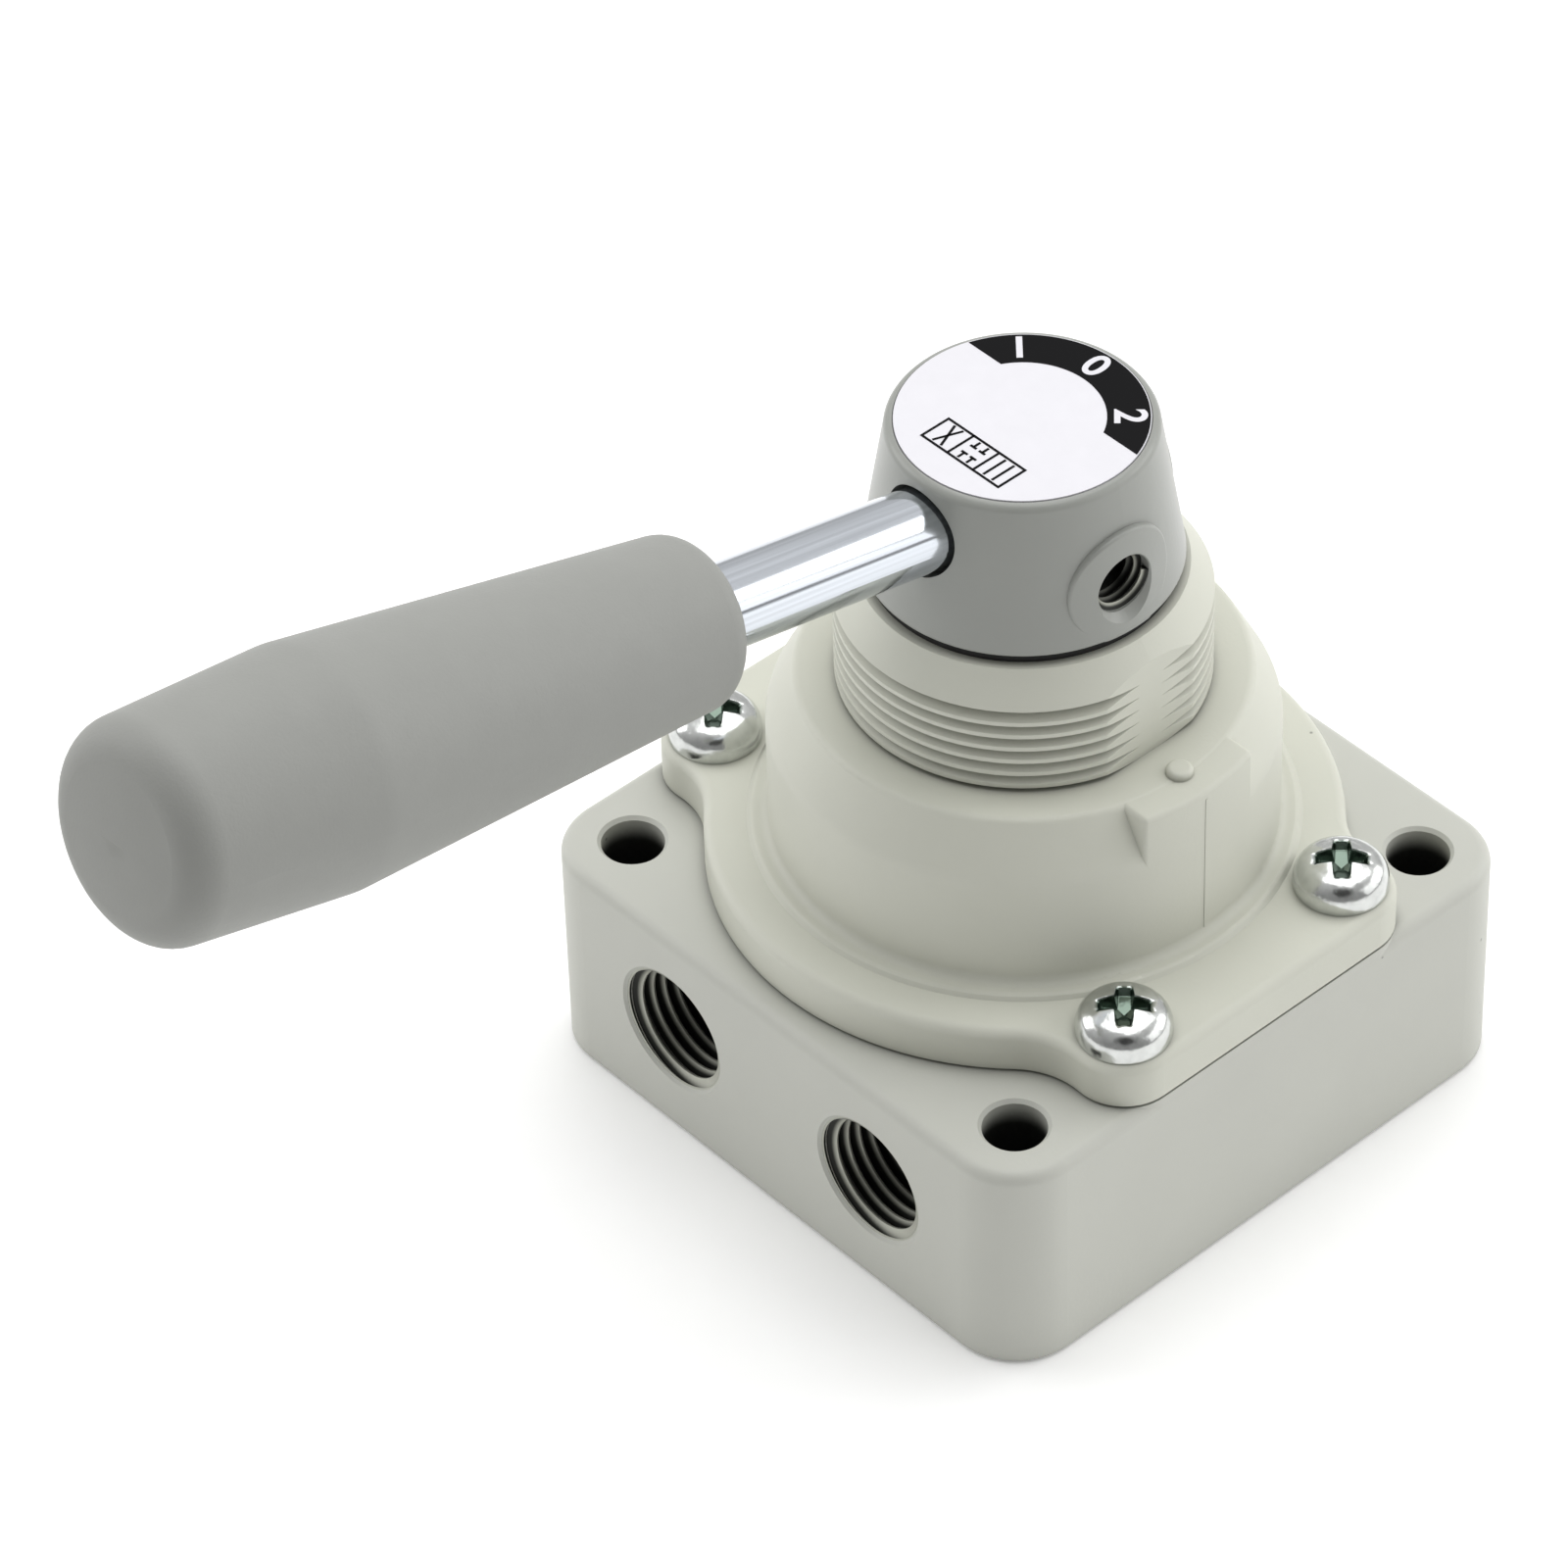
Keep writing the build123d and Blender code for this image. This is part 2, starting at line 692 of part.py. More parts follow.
def make_head_set_screws():
    """Two socket set screws, run in until they press on the flats of the spindle."""
    blank = Cylinder(set_screw_diameter / 2 - seated_gap, set_screw_length, align=upward)
    blank = chamfer(blank.edges().group_by(Axis.Z)[0], set_screw_chamfer)
    hexagon = RegularPolygon(hex_socket_width / 2, 6, major_radius=False)
    socket = extrude(hexagon, hex_socket_depth + overshoot)
    blank -= Pos(0, 0, set_screw_length - hex_socket_depth) * socket
    start = spindle_radius - spindle_flat_depth + seated_gap
    screw = Pos(start, 0, set_screw_height) * Rot(Y=90) * blank
    return Compound([Rot(Z=angle) * screw for angle in set_screw_angles])


def make_label_plate():
    """The round plate on top of the head."""
    bottom = head_top - label_recess
    return upright(label_diameter / 2, bottom, bottom + label_thickness)


def make_lever_rod():
    """The plain rod with a reduced tip that screws into the head."""
    shank = Cylinder(rod_diameter / 2, rod_end_station - rod_shoulder_station, align=upward)
    shank = chamfer(shank.edges().group_by(Axis.Z)[-1], rod_end_chamfer)
    tip = Cylinder(rod_tip_diameter / 2, rod_tip_length + overshoot, align=upward)
    return lever_plane * (Pos(0, 0, rod_shoulder_station) * shank + Pos(0, 0, rod_tip_station) * tip)


def make_grip():
    """The moulded grip: it widens to a line three quarters along, then narrows to a round end."""
    start_radius = grip_start_diameter / 2
    widest_radius = grip_widest_diameter / 2
    end_radius = grip_end_diameter / 2
    end_corner = grip_end_station - grip_end_dome
    side = Polyline(
        (0, grip_start_station),
        (start_radius, grip_start_station),
        (widest_radius, grip_widest_station),
        (end_radius, end_corner),
    )
    end = domed_end(end_radius, end_corner, grip_end_dome)
    axis = Line((0, grip_end_station), (0, grip_start_station))
    outline = make_face([*side.edges(), end, axis])
    outline = rounded(outline, start_radius, grip_start_station, grip_start_round)
    outline = rounded(outline, widest_radius, grip_widest_station, grip_waist_round)
    outline = rounded(outline, end_radius, end_corner, grip_end_round)
    grip = turned(outline)
    bore_depth = rod_end_station + grip_bore_room - grip_start_station
    bore = Pos(0, 0, grip_start_station - overshoot)
    bore = bore * Cylinder(rod_diameter / 2 + seated_gap, bore_depth + overshoot, align=upward)
    return lever_plane * (grip - bore)


makers = {
    "body": make_body,
    "seat_seals": make_seat_seals,
    "valve_plate": make_valve_plate,
    "plate_pins": make_plate_pins,
    "cover_o_ring": make_cover_o_ring,
    "valve_rotor": make_valve_rotor,
    "rotor_spring": make_rotor_spring,
    "drive_pins": make_drive_pins,
    "spindle": make_spindle,
    "spindle_o_rings": make_spindle_o_rings,
    "thrust_washer": make_thrust_washer,
    "spindle_bush": make_spindle_bush,
    "dust_wiper": make_dust_wiper,
    "stop_pin": make_stop_pin,
    "detent_ball": make_detent_ball,
    "detent_spring": make_detent_spring,
    "cover": make_cover,
    "cover_screws": make_cover_screws,
    "head": make_head,
    "head_set_screws": make_head_set_screws,
    "label_plate": make_label_plate,
    "lever_rod": make_lever_rod,
    "grip": make_grip,
}

os.makedirs("parts", exist_ok=True)
for node, maker in makers.items():
    export_step(maker(), f"parts/{node}.step")
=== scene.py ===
"""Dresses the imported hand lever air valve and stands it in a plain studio."""

import json
import math

import bmesh
import bpy
import numpy as np
from bpy.props import FloatProperty, FloatVectorProperty, IntProperty, PointerProperty
from mathutils import Matrix, Vector


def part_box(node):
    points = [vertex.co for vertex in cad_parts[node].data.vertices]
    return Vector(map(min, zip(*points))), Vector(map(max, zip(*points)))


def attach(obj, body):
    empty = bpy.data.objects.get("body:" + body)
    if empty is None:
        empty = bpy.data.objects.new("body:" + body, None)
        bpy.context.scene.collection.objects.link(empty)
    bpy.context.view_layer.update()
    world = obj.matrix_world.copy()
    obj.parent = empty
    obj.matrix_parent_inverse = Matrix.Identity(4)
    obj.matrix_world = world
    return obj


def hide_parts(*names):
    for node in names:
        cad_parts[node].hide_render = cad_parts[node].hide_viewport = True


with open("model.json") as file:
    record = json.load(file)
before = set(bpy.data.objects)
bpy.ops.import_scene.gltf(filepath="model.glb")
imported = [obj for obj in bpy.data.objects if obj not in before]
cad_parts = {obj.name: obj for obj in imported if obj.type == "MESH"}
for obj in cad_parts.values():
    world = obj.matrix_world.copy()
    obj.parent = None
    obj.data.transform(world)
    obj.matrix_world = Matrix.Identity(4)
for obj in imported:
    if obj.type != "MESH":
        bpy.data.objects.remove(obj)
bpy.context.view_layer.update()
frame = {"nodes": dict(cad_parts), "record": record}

bl_info = {
    "name": "Hand Lever Air Valve Finish",
    "version": (1, 0, 0),
    "blender": (4, 5, 0),
    "location": "View3D > Sidebar > Valve",
    "description": "Finishes, threads, screws and label of a hand lever air valve",
    "category": "Object",
}

MM = 0.001
# Points nearer to each other than this, in metres, become one
MERGE_DISTANCE = 1e-7
# Where the lights look, in metres
VALVE_MIDDLE = (0, -0.03, 0.04)
# The figures on the label, each with its bearing from +X in degrees
FIGURE_BEARINGS = {"1": 138, "0": 93, "2": 46}
BLACK = (0.0, 0.0, 0.0, 1.0)


def linear(colour):
    """Scene-linear RGBA of an sRGB hex colour."""
    channels = np.array([int(colour[i:i + 2], 16) / 255 for i in (1, 3, 5)])
    low = channels / 12.92
    high = ((channels + 0.055) / 1.055) ** 2.4
    return (*np.where(channels <= 0.04045, low, high).tolist(), 1.0)


def length(name, description, millimetres):
    """A length that a user would change, given in millimetres and kept in metres."""
    return FloatProperty(
        name=name, description=description, default=millimetres * MM, unit="LENGTH", precision=5
    )


def number(name, description, default, **kind):
    """A plain number that a user would change, with its unit or subtype if it has one."""
    return FloatProperty(name=name, description=description, default=default, **kind)


def rotation(name, description, degrees):
    """An angle that a user would change, given in degrees and kept in radians."""
    turn = math.radians(degrees)
    return FloatProperty(name=name, description=description, default=turn, subtype="ANGLE")


def colour(name, description, default):
    """A colour that a user would change."""
    shade = linear(default)
    return FloatVectorProperty(
        name=name, description=description, default=shade, size=4, subtype="COLOR", min=0, max=1
    )


# Settings

class CastingSettings(bpy.types.PropertyGroup):
    body_paint: colour("Block paint", "Paint of the square block", "#C1C2BA")
    cover_paint: colour("Cover paint", "Paint of the cover, a little warmer than the block's", "#CCCDC1")
    head_paint: colour("Head paint", "Paint of the lever's head", "#989A95")
    # Painted shade: deep in the holes the paint and the cut threads turn to this near black, for the shade
    # there.
    shade: colour("Bore shade", "Bare, oiled metal deep in the holes", "#1E1F1C")
    grain: length("Paint grain", "Distance between the bumps of the paint's orange peel", 0.45)
    crease_width: length("Crease width", "Width of the creases that gather shade", 1.5)
    crease_shade: number("Crease shade", "How much darker the paint is in a crease", 0.45, subtype="FACTOR")
    speck: colour("Speck", "Colour of the specks of dust in the paint", "#595955")
    speck_spacing: length("Speck spacing", "Distance between the places for a speck of dust", 7.0)
    speck_share: number("Speck share", "Share of those places that hold a speck", 0.6, subtype="FACTOR")
    speck_size: length("Speck size", "Radius of a speck of dust in the paint", 0.13)
    block_rounding: length("Block rounding", "Radius of the block's upright corners", 6.9)
    head_base: length("Head base", "Radius of the head at its base", 14.9)
    head_top: length("Head top", "Radius of the head at its top", 12.4)
    seam_width: length("Seam width", "Width of the parting line down the cover", 0.22)
    seam_height: length("Seam height", "Height of the parting line above the cover's wall", 0.05)
    seam_place: length("Seam place", "Distance of the parting line from the spindle's axis", 24.0)
    seam_base: length("Seam base", "Height at which the parting line starts, on the base ring", 30.4)
    seam_top: length("Seam top", "Height at which the parting line ends, under the ledge", 46.4)


class ThreadSettings(bpy.types.PropertyGroup):
    port_pitch: length("Port pitch", "Pitch of the ports' pipe thread", 1.411)
    port_height: length("Port thread height", "Height of the ridges in the ports", 0.86)
    set_screw_pitch: length("Set screw pitch", "Pitch of the set screws' thread", 1.0)
    set_screw_height: length("Set screw ridges", "Height of the ridges in the set screw holes", 0.54)
    set_screw_radius: length("Set screw hole", "Radius of the set screw holes", 3.0)
    set_screw_mouth: length("Set screw mouth", "Distance of the boss faces from the spindle's axis", 14.35)
    set_screw_start: length("Set screw start", "Depth at which the set screws' thread starts", 0.5)
    set_screw_turn: rotation("Set screw bearing", "Turn of the first hole from +X", -3)
    lead: length("Thread lead-in", "How far outside its mouth a port's thread would start", 1.28)
    chamfer: length("Port chamfer", "Chamfer of the ports' mouths", 0.3)
    fade: length("Groove fade", "Depth over which the grooves darken below the mouth", 0.3)
    metal: colour("Thread metal", "Bare aluminium on the thread's crests", "#B4B5AA")
    # Painted shade: the thread's grooves turn to this near black, for the shade down in them.
    root: colour("Thread root", "Oiled metal down in the thread's grooves", "#22231F")
    steps: IntProperty(name="Steps per turn", description="Points round each turn", default=72, min=12)


class ScrewSettings(bpy.types.PropertyGroup):
    plating: colour("Zinc", "Colour of the bright zinc plating", "#D2D4D2")
    # Painted shade: the colour down in the cross recess of each screw head, for the shade there.
    painted_recess_shade: colour("Recess", "Colour of the plating down in the cross recess", "#6A786E")
    head_diameter: length("Head diameter", "Across the pan head", 9.0)
    head_height: length("Head height", "Height of the pan head", 3.8)
    head_dome: length("Head crown", "Rise of the head's crown above its shoulder", 1.1)
    head_round: length("Head rounding", "Radius of the head's shoulder", 2.3)
    head_foot: length("Head foot", "Radius of the edge on which the head rests", 0.15)
    shank_diameter: length("Shank diameter", "Across the shank", 5.0)
    shank_length: length("Shank length", "Length of the shank under the head", 14.0)
    shank_point: length("Shank point", "Chamfer of the shank's end", 0.5)
    recess_span: length("Recess span", "Across the cross recess", 5.0)
    recess_width: length("Recess width", "Width of an arm of the cross recess", 1.75)
    recess_depth: length("Recess depth", "Depth of the cross recess in the middle", 1.9)
    recess_rim: length("Recess rim", "Depth over which the plating turns dark in the recess", 0.15)


class GripSettings(bpy.types.PropertyGroup):
    plastic: colour("Grip", "Colour of the moulded grip", "#959692")
    chrome: colour("Rod", "Colour of the rod's chrome plating", "#DADFE6")
    rod_diameter: length("Rod diameter", "Across the lever's rod", 8.0)
    draw_lines: length("Draw lines", "Distance between the draw lines along the rod", 0.35)
    grain: length("Moulded grain", "Distance between the bumps of the grip's surface", 0.3)


class LabelSettings(bpy.types.PropertyGroup):
    face: colour("Label", "Colour of the label's face", "#E2E1E6")
    ink: colour("Ink", "Colour of the print", "#0C0C0E")
    rim: length("Bare rim", "Width of the label's rim that stays bare", 0.1)
    band_inner: number("Band inner edge", "Inner edge of the black band, of the label's radius", 0.66)
    band_chord: number("Band chord", "Where the band is cut off, of the label's radius", 0.32)
    figure_height: length("Figure height", "Height of the figures in the band", 2.9)
    figure_weight: length("Figure weight", "How much the figures are thickened on each side", 0.09)
    symbol_cell: length("Symbol cell", "Side of a square of the valve symbol", 3.3)
    symbol_x: length("Symbol X", "Middle of the symbol, from the spindle's axis", 0.6)
    symbol_y: length("Symbol Y", "Middle of the symbol, from the spindle's axis", -6.6)
    line_width: length("Line width", "Width of the symbol's lines", 0.26)
    print_height: length("Print height", "Thickness of the print on the label", 0.03)


class InnerSettings(bpy.types.PropertyGroup):
    steel: colour("Steel", "Colour of the ground steel pieces", "#B9B9BA")
    dark_steel: colour("Dark steel", "Colour of the set screws' dark oxide", "#3A3B3D")
    acetal: colour("Acetal", "Colour of the rotor and the thrust washer", "#DDDCD2")
    bronze: colour("Bronze", "Colour of the sintered bush", "#B68A4B")
    rubber: colour("Rubber", "Colour of the seals", "#1A1A1A")


class StudioSettings(bpy.types.PropertyGroup):
    floor_colour: colour("Floor", "Colour of the floor", "#FDFDFC")
    floor_glow: number("Floor glow", "Light that the floor board lets through", 0.14)
    key_power: number("Key light", "Power of the large light overhead", 4.5, unit="POWER")
    back_power: number("Back light", "Power of the light behind on the right", 2.8, unit="POWER")
    right_power: number("Right light", "Power of the light on the right", 1.25, unit="POWER")
    left_power: number("Left light", "Power of the light behind on the left", 2.75, unit="POWER")
    room_level: number("Room light", "Brightness of the white room", 0.675)
    back_level: number("Back level", "Brightness of the room's far side, of the room's light", 1.08)
    front_level: number("Front level", "Brightness of the room behind the camera, of its light", 0.48)
    camera_level: number("Camera level", "Brightness of the camera and its stand, of the room's light", 0.12)
    lens: number("Lens", "Focal length in millimetres", 174.97, unit="CAMERA")
    sensor: number("Sensor", "Width of the camera's sensor in millimetres", 36.0, unit="CAMERA")
    shift_x: number("Shift X", "Sideways shift of the frame, of its width", 0.0007)
    shift_y: number("Shift Y", "Upward shift of the frame, of its width", -0.0082)
    azimuth: rotation("Azimuth", "Camera's bearing round the valve", 49.03)
    elevation: rotation("Elevation", "Camera's height above the horizon", 42.68)
    roll: rotation("Roll", "Camera's roll", -1.96)
    distance: length("Distance", "Distance from the camera to its target", 596.82)
    target_x: length("Target X", "Where the camera's axis passes", 48.51)
    target_y: length("Target Y", "Where the camera's axis passes", -71.93)
    target_z: length("Target Z", "Where the camera's axis passes", 112.2)


# Surfaces

def new_object(name, data):
    """An object in the scene, unturned and at the origin, that shows the data."""
    added = bpy.data.objects.new(name, data)
    bpy.context.collection.objects.link(added)
    return added


def vertices(mesh):
    """The mesh's points, one in each row."""
    points = np.empty(len(mesh.vertices) * 3)
    mesh.vertices.foreach_get("co", points)
    return points.reshape(-1, 3)


def surface(name, grids, material, sharp=35):
    """One mesh of closed skins, each over a grid of points (row, column).

    Each point joins its neighbours along both parameters, and the column is periodic. Points that
    coincide, as at a pole, become one, and an open first or last row is closed with a flat face. An
    edge that bends by more than sharp, in degrees, stays sharp.
    """
    points = []
    quads = []
    start = 0
    for grid in grids:
        rows, columns = grid.shape[:2]
        index = start + np.arange(rows * columns).reshape(rows, columns)
        index = np.concatenate([index, index[:, :1]], axis=1)
        corners = [index[:-1, :-1], index[:-1, 1:], index[1:, 1:], index[1:, :-1]]
        quads.append(np.stack(corners, axis=-1).reshape(-1, 4))
        points.append(grid.reshape(-1, 3))
        start += rows * columns
    mesh = bpy.data.meshes.new(name)
    mesh.from_pydata(np.concatenate(points).tolist(), [], np.concatenate(quads).tolist())
    work = bmesh.new()
    work.from_mesh(mesh)
    bmesh.ops.remove_doubles(work, verts=work.verts, dist=MERGE_DISTANCE)
    open_edges = [edge for edge in work.edges if edge.is_boundary]
    if open_edges:
        bmesh.ops.holes_fill(work, edges=open_edges, sides=0)
    bmesh.ops.recalc_face_normals(work, faces=work.faces)
    work.to_mesh(mesh)
    work.free()
    mesh.shade_smooth()
    mesh.set_sharp_from_angle(angle=math.radians(sharp))
    mesh.materials.append(material)
    return new_object(name, mesh)


def fit_out(piece, body, slot, *nodes):
    """Puts a finished piece on its body and hides the CAD nodes it stands for. The finish's slot is not
    used.
    """
    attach(piece, body)
    if nodes:
        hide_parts(*nodes)


def soften(corners, steps=8):
    """A profile of (radius, height, rounding) corners, with an arc in place of each rounded one.

    With unit directions a and b from the corner to its neighbours and t half the angle between them,
    the arc's centre is rounding / sin t along the bisector, and it touches rounding / tan t along each
    side. Its points are the spherical mean of the two touching points about the centre.
    """
    points = []
    for i, (radius, height, rounding) in enumerate(corners):
        here = np.array([radius, height])
        if rounding == 0:
            points.append(here[None, :])
            continue
        back = np.array(corners[i - 1][:2]) - here
        on = np.array(corners[i + 1][:2]) - here
        back /= np.linalg.norm(back)
        on /= np.linalg.norm(on)
        half = math.acos(float(back @ on)) / 2
        middle = (back + on) / np.linalg.norm(back + on)
        centre = here + middle * rounding / math.sin(half)
        first = here + back * rounding / math.tan(half) - centre
        last = here + on * rounding / math.tan(half) - centre
        turn = math.pi - 2 * half
        share = np.linspace(0, 1, steps + 1)[:, None]
        arc = (np.sin((1 - share) * turn) * first + np.sin(share * turn) * last) / math.sin(turn)
        points.append(centre + arc)
    return np.concatenate(points)


def turned(profile, columns):
    """A profile (r, h) carried round the local Z axis: x = r cos a, y = r sin a, z = h."""
    angle = np.linspace(0, 2 * math.pi, columns, endpoint=False)
    radius = profile[:, :1]
    height = np.broadcast_to(profile[:, 1:], (len(profile), columns))
    return np.stack([radius * np.cos(angle), radius * np.sin(angle), height], axis=-1)


def placed(grid, origin, axis, up=(0, 0, 1)):
    """The grid, turned so that its Z is the axis and its Y leans toward up, and set down at origin.

    With z the unit axis, x = up cross z, made a unit, and y = z cross x, a point (a, b, c) goes to
    origin + a x + b y + c z.
    """
    z = np.array(axis, dtype=float) / np.linalg.norm(axis)
    x = np.cross(up, z)
    x /= np.linalg.norm(x)
    return grid @ np.stack([x, np.cross(z, x), z]) + np.array(origin)


def inner_thread(radius, height, pitch, start, end, steps, chamfer=0.0):
    """The ridge of a right-hand thread on the wall of a hole whose mouth is at local z = 0.

    Its section is a low triangle with a flat crest, carried along x = r cos a, y = -r sin a,
    z = -(start + pitch a / 2 pi), from a place outside the mouth to the end. What would stand out of
    the mouth, or of the wall below the mouth's chamfer, is pressed to that level, and a cone cuts the
    crest there. The ridge runs out in the last half turn.
    """
    section = np.array([[0.04, 0.44, 0.56, 0.96]])
    pressed = np.array([[0.02, 0.05, 0.08, 0.11]]) * MM
    cone_slope = 2.5
    least_rise = 0.04
    turns = (end - start) / pitch - 1
    angle = np.linspace(0, 2 * math.pi * turns, int(turns * steps))[:, None]
    depth = start + pitch * (angle / (2 * math.pi) + section)
    depth = np.maximum(depth, chamfer + pressed)
    rise = np.clip((angle[-1] - angle) / math.pi, least_rise, 1) * height
    reach = np.full(depth.shape, float(radius))
    reach[:, 1:3] -= np.minimum(rise, cone_slope * (depth[:, 1:3] - chamfer))
    return np.stack([reach * np.cos(angle), -reach * np.sin(angle), -depth], axis=-1)


def slab(flat, thickness):
    """A thin closed block on a flat grid (row, column).

    Its section is the grid's rows, then the same rows raised by the thickness, in reverse order, so
    that the rows go once round it. It is carried along the columns.
    """
    raised = flat + np.array([0, 0, thickness])
    return np.concatenate([flat, raised[::-1]]).transpose(1, 0, 2)


def bar(start, end, width, level):
    """A flat grid of four points at one level: a straight line, widened by half its width each way."""
    start = np.array(start, dtype=float)
    end = np.array(end, dtype=float)
    along = (end - start) / np.linalg.norm(end - start)
    side = np.array([-along[1], along[0]]) * width / 2
    corners = np.array([[start - side, end - side], [start + side, end + side]])
    return np.concatenate([corners, np.full((2, 2, 1), level)], axis=-1)


def cross_recess(x, y, span, width, depth):
    """How far a cross recess sinks below a screw's head at each point.

    Its arms lie on both diagonals. With u and v the distances from the two arms' middle lines, the
    nearer one is across an arm and the farther one is along it. The floor falls in a straight slope
    from the arm's end to the middle, and the arm narrows in a straight line to its end. The walls lean
    back over a third of the arm's half width, and its end wall over a quarter of its width.
    """
    middle_width = 1.15
    narrowing = 0.5
    slope = 1.1
    u = np.abs(x + y) / math.sqrt(2)
    v = np.abs(x - y) / math.sqrt(2)
    across = np.minimum(u, v)
    along = np.maximum(u, v)
    half = width / 2 * (middle_width - narrowing * along / span)
    side = np.clip((half - across) / (half / 3), 0, 1)
    end = np.clip((span / 2 - along) / (width / 4), 0, 1)
    return depth * (1 - slope * along / span) * side * end


# Materials

def add(tree, kind, settings=None, links=None):
    """Adds a node, sets its sockets or attributes by name, and links outputs to its sockets by name."""
    new = tree.nodes.new(kind)
    for name, value in (settings or {}).items():
        if isinstance(name, int) or name in new.inputs:
            new.inputs[name].default_value = value
        else:
            setattr(new, name, value)
    for name, output in (links or {}).items():
        tree.links.new(output, new.inputs[name])
    return new


def fresh_material(name, settings):
    """A material with one Principled shader: (material, node tree, object coordinates)."""
    material = bpy.data.materials.new(name)
    material.use_nodes = True
    tree = material.node_tree
    shader = tree.nodes["Principled BSDF"]
    for socket, value in settings.items():
        shader.inputs[socket].default_value = value
    return material, tree, add(tree, "ShaderNodeTexCoord").outputs["Object"]


def wired(material, colour_output, normal):
    """The material with its colour and its bump linked to its shader."""
    tree = material.node_tree
    shader = tree.nodes["Principled BSDF"]
    tree.links.new(colour_output, shader.inputs["Base Color"])
    tree.links.new(normal, shader.inputs["Normal"])
    return material


def blended(tree, factor, first, second):
    """A mix of two colours, each a value or an output."""
    mix = add(tree, "ShaderNodeMix", {"data_type": "RGBA"}, {"Factor": factor})
    for socket, value in ((mix.inputs[6], first), (mix.inputs[7], second)):
        if isinstance(value, bpy.types.NodeSocket):
            tree.links.new(value, socket)
        else:
            socket.default_value = value
    return mix.outputs[2]


def creased(tree, colour_output, distance, amount):
    """The colour, darker by an amount down in narrow grooves and creases, where less light comes."""
    settings = {"samples": 6, "Distance": distance}
    open_share = add(tree, "ShaderNodeAmbientOcclusion", settings).outputs["AO"]
    stops = {"From Min": 0.25, "From Max": 0.8, "To Min": 1 - amount, "To Max": 1.0}
    share = add(tree, "ShaderNodeMapRange", stops, {"Value": open_share}).outputs["Result"]
    return blended(tree, share, BLACK, colour_output)


def clouded(tree, coordinates, base, spacing, amount):
    """The colour with soft lighter and darker clouds, spacing apart."""
    noise = {"Scale": 1 / spacing, "Detail": 3.0}
    clouds = add(tree, "ShaderNodeTexNoise", noise, {"Vector": coordinates})
    dark = [channel * (1 - amount) for channel in base[:3]] + [1.0]
    light = [min(channel * (1 + amount), 1) for channel in base[:3]] + [1.0]
    return blended(tree, clouds.outputs["Fac"], dark, light)


def grained(tree, coordinates, spacing, height):
    """A bump of fine grain, spacing apart and height high."""
    noise = {"Scale": 1 / spacing, "Detail": 2.0}
    grain = add(tree, "ShaderNodeTexNoise", noise, {"Vector": coordinates}).outputs["Fac"]
    bump = {"Strength": 1.0, "Distance": height}
    return add(tree, "ShaderNodeBump", bump, {"Height": grain}).outputs["Normal"]


def skin_depth(tree, core, radius, taper, low, high):
    """How deep a point lies in an upright block with rounded corners, or in an upright cone.

    The block is all points within some radius of a square of half side core, and the radius changes
    by taper with height. The depth is the least of the distances to its side, its top and its base.
    """
    coordinates = add(tree, "ShaderNodeTexCoord").outputs["Object"]
    kind = "ShaderNodeVectorMath"
    flat = add(tree, kind, {"operation": "ABSOLUTE"}, {0: coordinates}).outputs[0]
    over = add(tree, kind, {"operation": "SUBTRACT", 1: (core, core, 1)}, {0: flat}).outputs[0]
    over = add(tree, kind, {"operation": "MAXIMUM", 1: (0, 0, 0)}, {0: over}).outputs[0]
    reach = add(tree, kind, {"operation": "LENGTH"}, {0: over}).outputs["Value"]
    height = add(tree, "ShaderNodeSeparateXYZ", links={"Vector": coordinates}).outputs["Z"]
    kind = "ShaderNodeMath"
    wall = add(tree, kind, {"operation": "MULTIPLY_ADD", 1: taper, 2: radius}, {0: height}).outputs[0]
    side = add(tree, kind, {"operation": "SUBTRACT"}, {0: wall, 1: reach}).outputs[0]
    top = add(tree, kind, {"operation": "SUBTRACT", 0: high}, {1: height}).outputs[0]
    base = add(tree, kind, {"operation": "SUBTRACT", 1: low}, {0: height}).outputs[0]
    least = add(tree, kind, {"operation": "MINIMUM"}, {0: top, 1: base}).outputs[0]
    return add(tree, kind, {"operation": "MINIMUM"}, {0: side, 1: least}).outputs[0]


def shaded(material, depth, first, last, shade):
    """Turns the material's colour to the painted shade from a first depth to a last one."""
    tree = material.node_tree
    socket = tree.nodes["Principled BSDF"].inputs["Base Color"]
    colour_above = socket.links[0].from_socket
    settings = {"interpolation_type": "SMOOTHSTEP", "From Min": first, "From Max": last}
    share = add(tree, "ShaderNodeMapRange", settings, {"Value": depth}).outputs["Result"]
    tree.links.new(blended(tree, share, colour_above, shade), socket)
    return material


def body_shaded(material, settings, first, last):
    """The material of what belongs to the block, with painted shade down its holes."""
    low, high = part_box("body")
    rounding = settings.block_rounding
    depth = skin_depth(material.node_tree, high[0] - rounding, rounding, 0.0, low[2], high[2])
    return shaded(material, depth, first, last, settings.shade)


def head_shaded(material, settings, first, last):
    """The material of what belongs to the head, with painted shade down its holes."""
    low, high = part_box("head")
    taper = (settings.head_top - settings.head_base) / (high[2] - low[2])
    radius = settings.head_base - taper * low[2]
    depth = skin_depth(material.node_tree, 0.0, radius, taper, low[2], high[2])
    return shaded(material, depth, first, last, settings.shade)


def finish_material(name, base, settings, grain, height, cloud_spacing=2 * MM, cloud_amount=0.03):
    """A clouded colour and a fine grain of some height on one shader with the given settings."""
    material, tree, coordinates = fresh_material(name, settings)
    clouds = clouded(tree, coordinates, base, cloud_spacing, cloud_amount)
    return wired(material, clouds, grained(tree, coordinates, grain, height))


